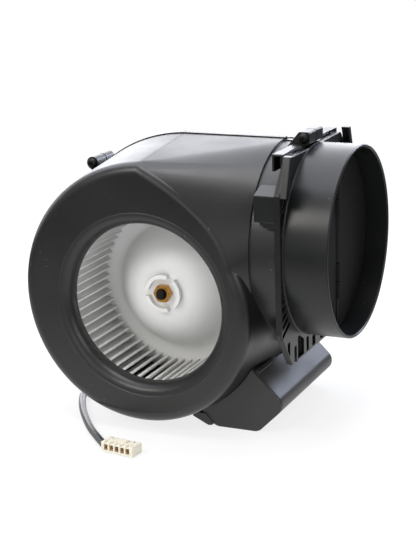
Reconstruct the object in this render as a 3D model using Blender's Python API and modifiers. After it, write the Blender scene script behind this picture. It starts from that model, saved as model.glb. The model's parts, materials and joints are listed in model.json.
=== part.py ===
"""Centrifugal blower unit of a cooker hood.

A two-part scroll casing holds a double-inlet wheel with its motor inside. A round
outlet collar with two non-return flaps sits on the neck, an electrics box hangs under
it, and a short lead ends in a connector. Metres, +Z up. The pieces are laid out from
the fan axis: +Y runs from the front face into the casing, +X runs to the outlet.
"""
import math

import bmesh
import bpy
from mathutils import Vector

MM = 0.001
GAP = 0.3 * MM
EMBED = 1.0 * MM

# Scroll casing
CASING_DEPTH = 171.2 * MM
WALL = 2.5 * MM
FACE_FILLET = 9.0 * MM
SCROLL_START_RADIUS = 93.4 * MM
SCROLL_START_ANGLE = -65.0
SCROLL_DRAFT = 7.5 * MM
TONGUE_ANGLE = 24.0
TOP_ANGLE = 90.0
CREASE_BULGE_X = 72.4 * MM
CREASE_BULGE_Z = 77.0 * MM
CREASE_SINK = 0.2 * MM
SPIRAL_POINTS = 42
CREASE_POINTS = 5
FILLET_STEPS = 3

# Inlet
INLET_RADIUS = 63.3 * MM
BELL_RADIUS = 72.7 * MM
BELL_DEPTH = 10.6 * MM
BELL_LIP = 2.4 * MM
BELL_STEP = 0.5 * MM
BELL_FLANGE = 3.3 * MM
BELL_WALL = 1.8 * MM

# Outlet neck and collar
OUTLET_HEIGHT = 42.0 * MM
SHOULDER_RADIUS = 77.4 * MM
SHOULDER_X = 86.0 * MM
NECK_RADIUS = 75.5 * MM
NECK_END = 107.0 * MM
NECK_ROOT = 66.0 * MM
COLLAR_RADIUS = 75.0 * MM
FLANGE_THICKNESS = 4.7 * MM
FLANGE_SIDE_MARGIN = 3.0 * MM
FLANGE_TOP_DROP = 1.0 * MM
FLANGE_FOOT = 11.5 * MM
FLANGE_HALF_WIDTH = COLLAR_RADIUS + FLANGE_SIDE_MARGIN
FLANGE_TOP = OUTLET_HEIGHT + COLLAR_RADIUS - FLANGE_TOP_DROP
FLANGE_BOTTOM = OUTLET_HEIGHT - COLLAR_RADIUS - FLANGE_FOOT
FLANGE_UPPER_SHOULDER = 92.0 * MM
FLANGE_LOWER_SHOULDER = -15.0 * MM
FLANGE_UPPER_BEVEL = 20.0 * MM
FLANGE_LOWER_BEVEL = 22.0 * MM
COLLAR_WALL = 2.5 * MM
COLLAR_LENGTH = 35.0 * MM
COLLAR_ROOT = 0.25 * MM
POCKET_DEPTH = 3.0 * MM
POCKET_WIDTH = 4.5 * MM
POCKET_PITCH = 8.0 * MM
SIDE_POCKETS = 4
SIDE_POCKET_TILT = 25.0
POCKET_MARGIN = 2.2 * MM
SLOT_WIDTH = 5.0 * MM
SLOT_HEIGHT = 14.0 * MM
SLOT_OFFSET = 48.0 * MM
CLIP_LENGTH = 16.0 * MM
CLIP_DEPTH = 7.2 * MM
CLIP_LOW = 71.0 * MM
CLIP_HEIGHT = 20.5 * MM
HOOD_LENGTH = 8.0 * MM
HOOD_WIDTH = 15.0 * MM
HOOD_OVERLAP = 10.0 * MM
HOOD_LOW = FLANGE_TOP - HOOD_OVERLAP
HOOD_HEIGHT = 13.0 * MM
HOOD_OFFSET = 44.6 * MM
HOOD_WALL = 1.6 * MM
ROOF_OFFSET = 18.5 * MM
ROOF_THICKNESS = 2.2 * MM

# Non-return flaps
FLAP_X = 128.0 * MM
SPINDLE_RADIUS = 1.5 * MM
FLAP_THICKNESS = 1.5 * MM
FLAP_EDGE_CLEARANCE = 1.0 * MM
KNUCKLE_WALL = 1.4 * MM
KNUCKLE_LENGTH = 14.0 * MM
KNUCKLE_STATION = 40.0 * MM
FLAP_TAB = 2.5 * MM

# Casing screws and their bosses
SCREW_RADIUS = 1.7 * MM
SCREW_HEAD_RADIUS = 3.6 * MM
SCREW_HEAD_HEIGHT = 2.4 * MM
SCREW_LENGTH = 26.0 * MM
BOSS_RADIUS = 5.2 * MM
BOSS_FRONT = 15.0 * MM
BOSS_REAR = 14.0 * MM
SCROLL_BOSS_STAND = 4.5 * MM
SCROLL_BOSS_ANGLE = 128.6
BOSS_WEB_RADIUS = 3.1 * MM
NECK_TOP_BOSS_X = 107.7 * MM
NECK_TOP_BOSS_STAND = 5.6 * MM
NECK_TOP_ROOT_X = 97.0 * MM
NECK_LOW_BOSS_X = 94.0 * MM
NECK_LOW_BOSS_STAND = 6.0 * MM

# Fan wheel
WHEEL_RADIUS = 77.2 * MM
WHEEL_FRONT = 15.0 * MM
WHEEL_REAR = CASING_DEPTH - WHEEL_FRONT
RING_THICKNESS = 3.0 * MM
RING_BORE = 64.3 * MM
BLADE_COUNT = 60
BLADE_INNER = 64.8 * MM
BLADE_OUTER = 76.5 * MM
BLADE_THICKNESS = 1.8 * MM
BLADE_SWEEP = 4.6
DISC_STATION = 72.0 * MM
DISC_THICKNESS = 2.2 * MM
DISC_DISH_RADIUS = 51.0 * MM
DISC_EDGE_RADIUS = 57.0 * MM
DISC_EDGE_STEP = 4.0 * MM
DOME_STATION = 41.0 * MM
DOME_POWER = 2.2
DOME_POINTS = 4
HUB_RADIUS = 16.0 * MM
HUB_BARREL_RADIUS = 10.0 * MM
HUB_BARREL_LENGTH = 19.0 * MM
CROWN_INNER = 12.0 * MM
CROWN_OUTER = 15.5 * MM
CROWN_HEIGHT = 4.5 * MM
CROWN_TEETH = 3
CROWN_TOOTH_ANGLE = 84.0
NUT_RADIUS = 7.6 * MM
NUT_HEIGHT = 5.5 * MM
NUT_SIDES = 6
SHAFT_STICKOUT = 3.0 * MM

# Motor
SHAFT_RADIUS = 4.0 * MM
SHAFT_REAR = 135.0 * MM
STATOR_START = 86.0 * MM
STATOR_LENGTH = 30.0 * MM
STATOR_RADIUS = 46.0 * MM
STATOR_BORE = 26.0 * MM
AIR_GAP = 0.4 * MM
ROTOR_OVERHANG = 1.0 * MM
WINDING_INNER = 29.0 * MM
WINDING_OUTER = 41.5 * MM
WINDING_LENGTH = 9.0 * MM
SHIELD_DEPTH = 20.0 * MM
SHIELD_WALL = 2.0 * MM
SHIELD_HOLE = 6.0 * MM
BEARING_RADIUS = 11.0 * MM
BEARING_WIDTH = 7.0 * MM
BEARING_SEAT_WALL = 2.7 * MM
BRACKET_SHEET = 2.0 * MM
BRACKET_BORE = 12.0 * MM
BRACKET_RADIUS = 42.0 * MM
ARM_WIDTH = 14.0 * MM
ARM_REACH = 58.0 * MM
ARM_OVERLAP = 4.0 * MM
ARM_STEP = 0.2 * MM
ARM_ANGLES = (75.0, 195.0, 315.0)
FOOT_RADIUS = 79.0 * MM
FOOT_END = 7.0 * MM
DAMPER_RADIUS = 6.0 * MM
DAMPER_HEIGHT = 3.0 * MM
DAMPER_BOSS_RADIUS = 4.5 * MM
DAMPER_BOSS_LENGTH = 8.0 * MM
DAMPER_SCREW_LENGTH = 13.0 * MM
MOTOR_BOLT_STATION = 34.0 * MM
MOTOR_BOLT_LENGTH = 3.5 * MM

# Electrics box under the neck
BOX_CORNER_X = 105.0 * MM
BOX_CORNER_Z = -80.2 * MM
BOX_UPPER_EDGE = 44.0 * MM
BOX_LEFT_X = 34.0 * MM
BOX_FRONT = 31.0 * MM
BOX_REAR = 150.0 * MM
BOX_WALL = 2.0 * MM
BOX_ROUND = 7.0 * MM
COVER_THICKNESS = 2.2 * MM
BOX_SCROLL_GAP = 0.4 * MM
CAPACITOR_RADIUS = 13.0 * MM
CAPACITOR_LENGTH = 58.0 * MM
CAPACITOR_START = 60.0 * MM
BOARD_THICKNESS = 1.6 * MM
BOARD_WIDTH = 22.0 * MM
BOARD_LENGTH = 90.0 * MM
BOARD_LEFT = 55.0 * MM
BOARD_START = 45.0 * MM

# Lead and connector
GLAND_ANGLE = -150.0
GLAND_STATION = 125.0 * MM
GLAND_RADIUS = 5.5 * MM
GLAND_FLANGE_RADIUS = 8.0 * MM
GLAND_FLANGE = 2.5 * MM
GLAND_NOSE = 12.0 * MM
GLAND_NOSE_WALL = 2.0 * MM
GLAND_INSIDE = 4.4 * MM
CABLE_RADIUS = 3.0 * MM
CABLE_STEP = 14.0 * MM
LEAD_STRAIGHT = 3.8 * MM
LEAD_DROP = ((-120.3, 121.6, -71.2), (-127, 111.9, -84.8), (-120.7, 97.2, -97.1))
LEAD_FLOOR = ((-96.3, 75.3), (-86.1, 61.1), (-83, 48), (-72.5, 28), (-60, 9), (-43, -13), (-28, -29))
LEAD_END_GAP = 2.0 * MM
CONNECTOR_X = -0.2 * MM
CONNECTOR_Y = -42.5 * MM
CONNECTOR_TURN = -8.0
CONNECTOR_LENGTH = 29.0 * MM
CONNECTOR_DEPTH = 13.0 * MM
CONNECTOR_HEIGHT = 8.0 * MM
POLES = 5
POLE_PITCH = 5.0 * MM
CONTACT_WIDTH = 3.0 * MM
CONTACT_HEIGHT = 1.2 * MM
CONTACT_LENGTH = 5.5 * MM

STEPS_LARGE = 40
STEPS_WHEEL = BLADE_COUNT // 2
STEPS_MOTOR = 24
STEPS_FLAP = 24
STEPS_SMALL = 12
STEPS_CROWN = 6
STEPS_CORNER = 5

for old in list(bpy.data.objects):
    bpy.data.objects.remove(old, do_unlink=True)


def new_collection(name):
    made = bpy.data.collections.new(name)
    bpy.context.scene.collection.children.link(made)
    return made


PARTS = new_collection("blower_unit")
CUTTERS = new_collection("cutters")
UNIT = bpy.data.objects.new("unit", None)
PARTS.objects.link(UNIT)


def finish(name, colour, roughness, metallic):
    """Plain shader for one piece."""
    made = bpy.data.materials.new(name)
    made.use_nodes = True
    shader = made.node_tree.nodes["Principled BSDF"]
    shader.inputs["Base Color"].default_value = (*colour, 1.0)
    shader.inputs["Roughness"].default_value = roughness
    shader.inputs["Metallic"].default_value = metallic
    return made


BLACK_PLASTIC = ((0.024, 0.024, 0.023), 0.45, 0.0)
WHITE_PLASTIC = ((0.70, 0.70, 0.66), 0.45, 0.0)
STEEL = ((0.45, 0.45, 0.46), 0.35, 1.0)
DARK_STEEL = ((0.10, 0.10, 0.10), 0.45, 1.0)
BRASS = ((0.62, 0.38, 0.12), 0.35, 1.0)
COPPER = ((0.60, 0.28, 0.14), 0.40, 1.0)
RUBBER = ((0.02, 0.02, 0.02), 0.80, 0.0)
IVORY = ((0.78, 0.76, 0.68), 0.50, 0.0)
BOARD_GREEN = ((0.05, 0.20, 0.10), 0.50, 0.0)


def add_piece(name, mesh, look, parent=None):
    """One named sub-part under the unit, with its own material."""
    piece = bpy.data.objects.new(name, mesh)
    PARTS.objects.link(piece)
    piece.parent = parent or UNIT
    mesh.materials.append(finish(name, *look))
    return piece


def add_tool(name, mesh):
    """A body that only cuts or joins another piece."""
    tool = bpy.data.objects.new(name, mesh)
    CUTTERS.objects.link(tool)
    tool.parent = UNIT
    tool.hide_render = True
    tool.display_type = "WIRE"
    return tool


def combine(piece, tool, operation):
    step = piece.modifiers.new(operation.lower() + "_" + tool.name, "BOOLEAN")
    step.operation = operation
    step.solver = "EXACT"
    step.object = tool


def join(piece, tool):
    combine(piece, tool, "UNION")


def cut(piece, tool):
    combine(piece, tool, "DIFFERENCE")


def closed_mesh(name, bm):
    bmesh.ops.recalc_face_normals(bm, faces=bm.faces)
    mesh = bpy.data.meshes.new(name)
    bm.to_mesh(mesh)
    bm.free()
    mesh.shade_smooth()
    mesh.set_sharp_from_angle(angle=math.radians(30))
    return mesh


def place(axis, first, second, station):
    """Point of a flat outline that stands at a station of one axis."""
    if axis == "X":
        return Vector((station, first, second))
    if axis == "Y":
        return Vector((first, station, second))
    return Vector((first, second, station))


def prism_into(bm, outline, axis, low, high):
    base = bm.faces.new([bm.verts.new(place(axis, a, b, low)) for a, b in outline])
    grown = bmesh.ops.extrude_face_region(bm, geom=[base])
    corners = [item for item in grown["geom"] if isinstance(item, bmesh.types.BMVert)]
    bmesh.ops.translate(bm, verts=corners, vec=place(axis, 0, 0, high - low))


def prism(name, outline, axis, low, high):
    bm = bmesh.new()
    prism_into(bm, outline, axis, low, high)
    return closed_mesh(name, bm)


def loft(name, rings):
    """Closed body through rings of equal point counts."""
    bm = bmesh.new()
    loops = [[bm.verts.new(point) for point in ring] for ring in rings]
    for lower, upper in zip(loops, loops[1:]):
        for index in range(len(lower)):
            after = (index + 1) % len(lower)
            bm.faces.new((lower[index], lower[after], upper[after], upper[index]))
    bm.faces.new(loops[0])
    bm.faces.new(loops[-1])
    return closed_mesh(name, bm)


def hull(name, points):
    bm = bmesh.new()
    for point in points:
        bm.verts.new(point)
    made = bmesh.ops.convex_hull(bm, input=bm.verts)
    spare = [v for v in made["geom_interior"] + made["geom_unused"] if isinstance(v, bmesh.types.BMVert)]
    bmesh.ops.delete(bm, geom=list(set(spare)), context="VERTS")
    return closed_mesh(name, bm)


def rectangle(low_a, high_a, low_b, high_b):
    return [(low_a, low_b), (high_a, low_b), (high_a, high_b), (low_a, high_b)]


def circle(centre_a, centre_b, radius, steps):
    turns = [2 * math.pi * step / steps for step in range(steps)]
    return [(centre_a + radius * math.cos(t), centre_b + radius * math.sin(t)) for t in turns]


def polar(radius, degrees):
    angle = math.radians(degrees)
    return radius * math.cos(angle), radius * math.sin(angle)


def signed_area(outline):
    pairs = zip(outline, outline[1:] + outline[:1])
    return sum(a[0] * b[1] - b[0] * a[1] for a, b in pairs) / 2


TURN = {"X": (0.0, math.pi / 2, 0.0), "Y": (-math.pi / 2, 0.0, 0.0), "Z": (0.0, 0.0, 0.0)}


def turned_mesh(name, profile):
    """Profile of (radius, station) pairs, run down its outer side."""
    line = profile if signed_area(profile) < 0 else profile[::-1]
    bm = bmesh.new()
    verts = [bm.verts.new((radius, 0.0, station)) for radius, station in line]
    for here, there in zip(verts, verts[1:]):
        bm.edges.new((here, there))
    if min(radius for radius, station in line) > 0:
        bm.edges.new((verts[-1], verts[0]))
    mesh = bpy.data.meshes.new(name)
    bm.to_mesh(mesh)
    bm.free()
    return mesh


def spin(obj, axis, centre, steps):
    obj.location = centre
    obj.rotation_euler = TURN[axis]
    screw = obj.modifiers.new("turned", "SCREW")
    screw.steps = steps
    screw.render_steps = steps
    screw.use_merge_vertices = True
    screw.merge_threshold = 0.00001
    screw.use_smooth_shade = True
    return obj


def turned(name, profile, look, axis="Y", centre=(0, 0, 0), steps=STEPS_SMALL):
    return spin(add_piece(name, turned_mesh(name, profile), look), axis, centre, steps)


def turned_tool(name, profile, axis="Y", centre=(0, 0, 0), steps=STEPS_SMALL):
    return spin(add_tool(name, turned_mesh(name, profile)), axis, centre, steps)


def tube_profile(inner, outer, low, high):
    return [(inner, high), (outer, high), (outer, low), (inner, low)]


def rod_profile(radius, low, high):
    return [(0.0, high), (radius, high), (radius, low), (0.0, low)]


SEAM = CASING_DEPTH / 2
SCROLL_TOP_RADIUS = OUTLET_HEIGHT + SHOULDER_RADIUS - SCROLL_DRAFT
SPIRAL_SPAN = SCROLL_START_ANGLE + 360.0 - TOP_ANGLE
SPIRAL_GROWTH = (SCROLL_TOP_RADIUS - SCROLL_START_RADIUS) / SPIRAL_SPAN


def scroll_radius(degrees):
    """Wall radius at the front fillet; the scroll widens clockwise seen from the front."""
    travel = (SCROLL_START_ANGLE - degrees) % 360.0
    if travel > SPIRAL_SPAN + 1e-6:
        travel -= 360.0
    return SCROLL_START_RADIUS + SPIRAL_GROWTH * travel


def crease_curve(inset):
    """Edge of the flat face where the duct slopes away to the outlet."""
    top = Vector(polar(scroll_radius(TOP_ANGLE) - inset, TOP_ANGLE))
    end = Vector(polar(scroll_radius(TONGUE_ANGLE) - inset, TONGUE_ANGLE))
    bulge = Vector((CREASE_BULGE_X, CREASE_BULGE_Z))
    bulge = bulge * (1 - inset / bulge.length)
    points = []
    for step in range(1, CREASE_POINTS + 1):
        t = step / (CREASE_POINTS + 1)
        points.append(top * (1 - t) ** 2 + bulge * 2 * t * (1 - t) + end * t * t)
    return [(point.x, point.y) for point in points]


def scroll_outline(inset):
    """Casing outline, seen from the front, grown or shrunk radially."""
    sweep = TONGUE_ANGLE + 360.0 - TOP_ANGLE
    outline = []
    for step in range(SPIRAL_POINTS + 1):
        degrees = TONGUE_ANGLE - sweep * step / SPIRAL_POINTS
        outline.append(polar(scroll_radius(degrees) - inset, degrees))
    return outline + crease_curve(inset)


def draft_at(depth):
    return SCROLL_DRAFT * (depth - FACE_FILLET) / (SEAM - FACE_FILLET)


SCROLL_LOWEST = min(z for x, z in scroll_outline(-SCROLL_DRAFT))
OUTLET_CENTRE = (0.0, SEAM, OUTLET_HEIGHT)


def to_station(depth, rear):
    """Depth below a half's own face, as a station along the fan axis."""
    return CASING_DEPTH - depth if rear else depth


def fillet_rings(wall, steps):
    """Depth and inset of each ring of the rounded face edge."""
    fillet = FACE_FILLET - wall
    rings = []
    for step in range(steps + 1):
        angle = math.pi / 2 * step / steps
        rings.append((wall + fillet * (1 - math.cos(angle)), wall + fillet * (1 - math.sin(angle))))
    return rings


def scroll_body(name, wall, seam_depth, fillet_steps, rear):
    """Drafted scroll solid with a rounded face edge, from the face to the seam."""
    rings = fillet_rings(wall, fillet_steps) + [(seam_depth, wall - draft_at(seam_depth))]
    return loft(name, [[place("Y", x, z, to_station(depth, rear)) for x, z in scroll_outline(inset)]
                       for depth, inset in rings])


def neck_body(name, wall, seam_depth, rear):
    """Duct that wraps the rounded crease and runs from the scroll's top to the round shoulder."""
    points = []
    for depth, inset in fillet_rings(wall, FILLET_STEPS):
        points += [(x, depth + CREASE_SINK, z) for x, z in crease_curve(inset + CREASE_SINK)]
    top = OUTLET_HEIGHT + SHOULDER_RADIUS - wall - CREASE_SINK / 2
    points += [(EMBED, FACE_FILLET, top - SCROLL_DRAFT)]
    points += [(EMBED, seam_depth, top), (EMBED, seam_depth, OUTLET_HEIGHT)]
    root_shrink = (SHOULDER_X - NECK_ROOT) / 2
    for x, shrink in ((SHOULDER_X - wall, 0.0), (NECK_ROOT, root_shrink)):
        radius = SHOULDER_RADIUS - wall - shrink
        for y, z in circle(SEAM, OUTLET_HEIGHT, radius, STEPS_LARGE):
            if y <= SEAM + GAP:
                points.append((x, min(y, seam_depth), z))
                if y > SEAM - radius / STEPS_LARGE:
                    points.append((x, seam_depth, z))
    return hull(name, [Vector((x, to_station(y, rear), z)) for x, y, z in points])


def half_ring(name, radius, low, high, seam_depth, rear):
    """Half of a round duct, closed flat at the seam."""
    outline = []
    for y, z in circle(SEAM, OUTLET_HEIGHT, radius, STEPS_LARGE):
        if y <= SEAM + GAP:
            outline.append((to_station(min(y, SEAM), rear), z))
    seam_side = to_station(seam_depth, rear)
    lowest = (seam_side, OUTLET_HEIGHT - radius)
    highest = (seam_side, OUTLET_HEIGHT + radius)
    outline.sort(key=lambda point: point[1])
    return prism(name, [lowest] + outline[1:-1] + [highest], "X", low, high)


def bell_mouth(rear):
    """Rounded inlet ring, set a small step below the face."""
    front = []
    back = []
    for step in range(FILLET_STEPS + 1):
        angle = math.pi / 2 * step / FILLET_STEPS
        reach = BELL_RADIUS - INLET_RADIUS
        drop = BELL_DEPTH - BELL_STEP
        front.append((BELL_RADIUS - reach * math.sin(angle), BELL_DEPTH - drop * math.cos(angle)))
        back.append((BELL_RADIUS - (reach - BELL_WALL) * math.sin(angle),
                     BELL_DEPTH - (drop - BELL_WALL) * math.cos(angle)))
    lip = BELL_DEPTH + BELL_LIP
    rim = BELL_RADIUS + BELL_FLANGE
    profile = [(rim, BELL_STEP)] + front + [(INLET_RADIUS, lip), (INLET_RADIUS + BELL_WALL, lip)]
    profile += back[::-1] + [(rim, BELL_STEP + BELL_WALL)]
    side = "rear" if rear else "front"
    return turned_tool("bell_" + side, [(r, to_station(d, rear)) for r, d in profile], steps=STEPS_LARGE)


def boss_places():
    """Screw axes that hold the casing halves together, with the side each boss grows from."""
    wall = scroll_radius(SCROLL_BOSS_ANGLE) + SCROLL_DRAFT
    high = OUTLET_HEIGHT + NECK_RADIUS
    low = OUTLET_HEIGHT - NECK_RADIUS
    return {
        "casing_screw_left": (polar(wall + SCROLL_BOSS_STAND, SCROLL_BOSS_ANGLE),
                              polar(wall - WALL, SCROLL_BOSS_ANGLE)),
        "casing_screw_neck_top": ((NECK_TOP_BOSS_X, high + NECK_TOP_BOSS_STAND),
                                  (NECK_TOP_ROOT_X, high - WALL)),
        "casing_screw_neck_low": ((NECK_LOW_BOSS_X, low - NECK_LOW_BOSS_STAND),
                                  (NECK_LOW_BOSS_X, low + WALL)),
    }


def boss_body(name, centre, root, low, high):
    """Round screw boss with a web that runs back to the wall."""
    points = circle(*centre, BOSS_RADIUS, STEPS_SMALL)
    points += circle(*root, BOSS_WEB_RADIUS, STEPS_SMALL)
    corners = [Vector((x, station, z)) for x, z in points for station in (low, high)]
    return hull(name, corners)


def casing_half(name, rear):
    tag = "rear_" if rear else "front_"
    half = SEAM - GAP / 2
    past = SEAM + EMBED
    piece = add_piece(name, scroll_body(name, 0.0, half, FILLET_STEPS, rear), BLACK_PLASTIC)
    join(piece, add_tool(tag + "duct", neck_body(tag + "duct", 0.0, half, rear)))
    neck = half_ring(tag + "neck", NECK_RADIUS, NECK_ROOT, NECK_END, half, rear)
    join(piece, add_tool(tag + "neck", neck))
    for screw, (centre, root) in boss_places().items():
        length = BOSS_REAR if rear else BOSS_FRONT
        stations = sorted((to_station(half, rear), to_station(SEAM - length, rear)))
        join(piece, add_tool(tag + "boss_" + screw, boss_body(tag + screw, centre, root, *stations)))
    cut(piece, add_tool(tag + "scroll_room", scroll_body(tag + "scroll_room", WALL, past, 1, rear)))
    cut(piece, add_tool(tag + "duct_room", neck_body(tag + "duct_room", WALL, past, rear)))
    room = half_ring(tag + "neck_room", NECK_RADIUS - WALL, NECK_ROOT, NECK_END + EMBED, past, rear)
    cut(piece, add_tool(tag + "neck_room", room))
    low, high = sorted((to_station(-EMBED, rear), to_station(WALL + EMBED, rear)))
    cut(piece, turned_tool(tag + "inlet", rod_profile(BELL_RADIUS, low, high), steps=STEPS_LARGE))
    join(piece, bell_mouth(rear))
    reach = sorted((to_station(SEAM + EMBED, rear), to_station(SEAM - BOSS_FRONT - EMBED, rear)))
    for screw, (centre, root) in boss_places().items():
        bore = prism(tag + "hole", circle(*centre, SCREW_RADIUS + GAP, STEPS_SMALL), "Y", *reach)
        cut(piece, add_tool(tag + "hole_" + screw, bore))
    return piece


def screw_profile(head_end, length, head_radius=SCREW_HEAD_RADIUS, shank=SCREW_RADIUS, away=1.0):
    """Headed screw along the fan axis; away is the direction from head to tip."""
    under = head_end + away * SCREW_HEAD_HEIGHT
    tip = under + away * length
    crown = SCREW_HEAD_HEIGHT / 3
    return [(0.0, head_end), (head_radius - crown, head_end), (head_radius, head_end + away * crown),
            (head_radius, under), (shank, under), (shank, tip), (0.0, tip)]


def build_casing():
    casing_half("front_casing", False)
    rear = casing_half("rear_casing", True)
    inner_face = CASING_DEPTH - WALL
    boss_end = inner_face - DAMPER_BOSS_LENGTH
    for index, degrees in enumerate(ARM_ANGLES):
        x, z = polar(FOOT_RADIUS, degrees)
        boss = prism("damper_boss", circle(x, z, DAMPER_BOSS_RADIUS, STEPS_SMALL), "Y",
                     boss_end, inner_face + EMBED)
        join(rear, add_tool("damper_boss_%d" % index, boss))
        bore = prism("damper_hole", circle(x, z, SCREW_RADIUS + GAP, STEPS_SMALL), "Y",
                     boss_end - EMBED, CASING_DEPTH + EMBED)
        cut(rear, add_tool("damper_hole_%d" % index, bore))
    gland_hole = turned_tool("gland_hole", rod_profile(GLAND_RADIUS + GAP, -2 * WALL - SCROLL_DRAFT, EMBED))
    lay_on_gland_axis(gland_hole)
    cut(rear, gland_hole)
    head_end = SEAM - BOSS_FRONT - GAP - SCREW_HEAD_HEIGHT
    for screw, (centre, root) in boss_places().items():
        turned(screw, screw_profile(head_end, SCREW_LENGTH), DARK_STEEL, centre=(centre[0], 0.0, centre[1]))


def wheel_blades(name):
    """Blades that lean forwards, each a thin plate along the wheel's whole width."""
    bm = bmesh.new()
    low = WHEEL_FRONT + EMBED
    high = WHEEL_REAR - EMBED
    for blade in range(BLADE_COUNT):
        start = 360.0 * (blade + 0.5) / BLADE_COUNT + BLADE_SWEEP / 2
        inner = Vector(polar(BLADE_INNER, start))
        outer = Vector(polar(BLADE_OUTER, start - BLADE_SWEEP))
        run = (outer - inner).normalized()
        across = Vector((-run.y, run.x)) * (BLADE_THICKNESS / 2)
        corners = (inner + across, outer + across, outer - across, inner - across)
        prism_into(bm, [(corner.x, corner.y) for corner in corners], "Y", low, high)
    return closed_mesh(name, bm)


def dome_surface():
    """Front side of the dished disc, from the hub outwards."""
    dish_end = DISC_STATION - DISC_EDGE_STEP
    points = []
    for step in range(DOME_POINTS + 1):
        share = step / DOME_POINTS
        radius = HUB_RADIUS + (DISC_DISH_RADIUS - HUB_RADIUS) * share
        points.append((radius, DOME_STATION + (dish_end - DOME_STATION) * share ** DOME_POWER))
    return points


def build_wheel():
    bore = SHAFT_RADIUS + GAP
    front = dome_surface()
    back = [(radius, station + DISC_THICKNESS) for radius, station in front][::-1]
    disc_back = DISC_STATION + DISC_THICKNESS
    profile = [(bore, DOME_STATION)] + front
    profile += [(DISC_EDGE_RADIUS, DISC_STATION), (WHEEL_RADIUS, DISC_STATION)]
    profile += [(WHEEL_RADIUS, disc_back), (DISC_EDGE_RADIUS, disc_back)]
    barrel_end = DOME_STATION + HUB_BARREL_LENGTH
    profile += back + [(HUB_BARREL_RADIUS, DOME_STATION + DISC_THICKNESS)]
    profile += [(HUB_BARREL_RADIUS, barrel_end), (bore, barrel_end)]
    wheel = turned("fan_wheel", profile, WHITE_PLASTIC, steps=STEPS_WHEEL)
    join(wheel, add_tool("wheel_blades", wheel_blades("wheel_blades")))
    for side, low in (("front", WHEEL_FRONT), ("rear", WHEEL_REAR - RING_THICKNESS)):
        ring = tube_profile(RING_BORE, WHEEL_RADIUS, low, low + RING_THICKNESS)
        join(wheel, turned_tool("wheel_ring_" + side, ring, steps=STEPS_WHEEL))
    for tooth in range(CROWN_TEETH):
        middle = 90.0 + 360.0 * tooth / CROWN_TEETH
        sides = [middle + CROWN_TOOTH_ANGLE * (step / STEPS_CROWN - 0.5) for step in range(STEPS_CROWN + 1)]
        outline = [polar(CROWN_OUTER, side) for side in sides]
        outline += [polar(CROWN_INNER, side) for side in sides[::-1]]
        crown = prism("hub_crown", outline, "Y", DOME_STATION - CROWN_HEIGHT, DOME_STATION + EMBED)
        join(wheel, add_tool("hub_crown_%d" % tooth, crown))
    nut_end = DOME_STATION - GAP
    nut_start = nut_end - NUT_HEIGHT
    nut_bore = bore / math.cos(math.pi / NUT_SIDES)
    turned("hub_nut", tube_profile(nut_bore, NUT_RADIUS, nut_start, nut_end), BRASS, steps=NUT_SIDES)
    turned("motor_shaft", rod_profile(SHAFT_RADIUS, nut_start - SHAFT_STICKOUT, SHAFT_REAR), STEEL)


def end_shield(name, rim, away):
    """Cup that closes one end of the motor and seats a bearing; away points from the stator."""
    outer_face = rim + away * SHIELD_DEPTH
    inner_face = outer_face - away * SHIELD_WALL
    seat = BEARING_RADIUS + GAP
    seat_end = inner_face - away * (BEARING_WIDTH + 2 * GAP)
    seat_outside = seat + BEARING_SEAT_WALL
    inside = STATOR_RADIUS - SHIELD_WALL
    profile = [(SHIELD_HOLE, outer_face), (STATOR_RADIUS, outer_face), (STATOR_RADIUS, rim), (inside, rim),
               (inside, inner_face), (seat_outside, inner_face), (seat_outside, seat_end),
               (seat, seat_end), (seat, inner_face), (SHIELD_HOLE, inner_face)]
    return turned(name, profile, STEEL, steps=STEPS_MOTOR), inner_face


def build_motor():
    stator_end = STATOR_START + STATOR_LENGTH
    stator = tube_profile(STATOR_BORE, STATOR_RADIUS, STATOR_START, stator_end)
    turned("stator_core", stator, STEEL, steps=STEPS_MOTOR)
    rotor = tube_profile(SHAFT_RADIUS + GAP, STATOR_BORE - AIR_GAP, STATOR_START - ROTOR_OVERHANG,
                         stator_end + ROTOR_OVERHANG)
    turned("rotor_core", rotor, STEEL, steps=STEPS_MOTOR)
    turned("winding_front", tube_profile(WINDING_INNER, WINDING_OUTER, STATOR_START - GAP - WINDING_LENGTH,
                                         STATOR_START - GAP), COPPER, steps=STEPS_MOTOR)
    turned("winding_rear", tube_profile(WINDING_INNER, WINDING_OUTER, stator_end + GAP,
                                        stator_end + GAP + WINDING_LENGTH), COPPER, steps=STEPS_MOTOR)
    front_shield, front_seat = end_shield("end_shield_front", STATOR_START - GAP, -1.0)
    rear_shield, rear_seat = end_shield("end_shield_rear", stator_end + GAP, 1.0)
    bearing = (SHAFT_RADIUS + GAP, BEARING_RADIUS)
    front_start = front_seat + GAP
    turned("bearing_front", tube_profile(*bearing, front_start, front_start + BEARING_WIDTH), STEEL)
    rear_end = rear_seat - GAP
    turned("bearing_rear", tube_profile(*bearing, rear_end - BEARING_WIDTH, rear_end), STEEL)
    build_bracket(rear_shield, stator_end + GAP + SHIELD_DEPTH)


def bent_arm(plate_low, plate_high, foot_low, foot_high):
    """Side view (radius, station) of one arm: out along the plate, back along a leg, out to a foot."""
    low = plate_low + ARM_STEP
    high = plate_high - ARM_STEP
    root = BRACKET_RADIUS - ARM_OVERLAP
    tip = FOOT_RADIUS + FOOT_END
    leg = ARM_REACH - BRACKET_SHEET
    return [(root, low), (ARM_REACH, low), (ARM_REACH, foot_low), (tip, foot_low), (tip, foot_high),
            (leg, foot_high), (leg, high), (root, high)]


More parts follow.
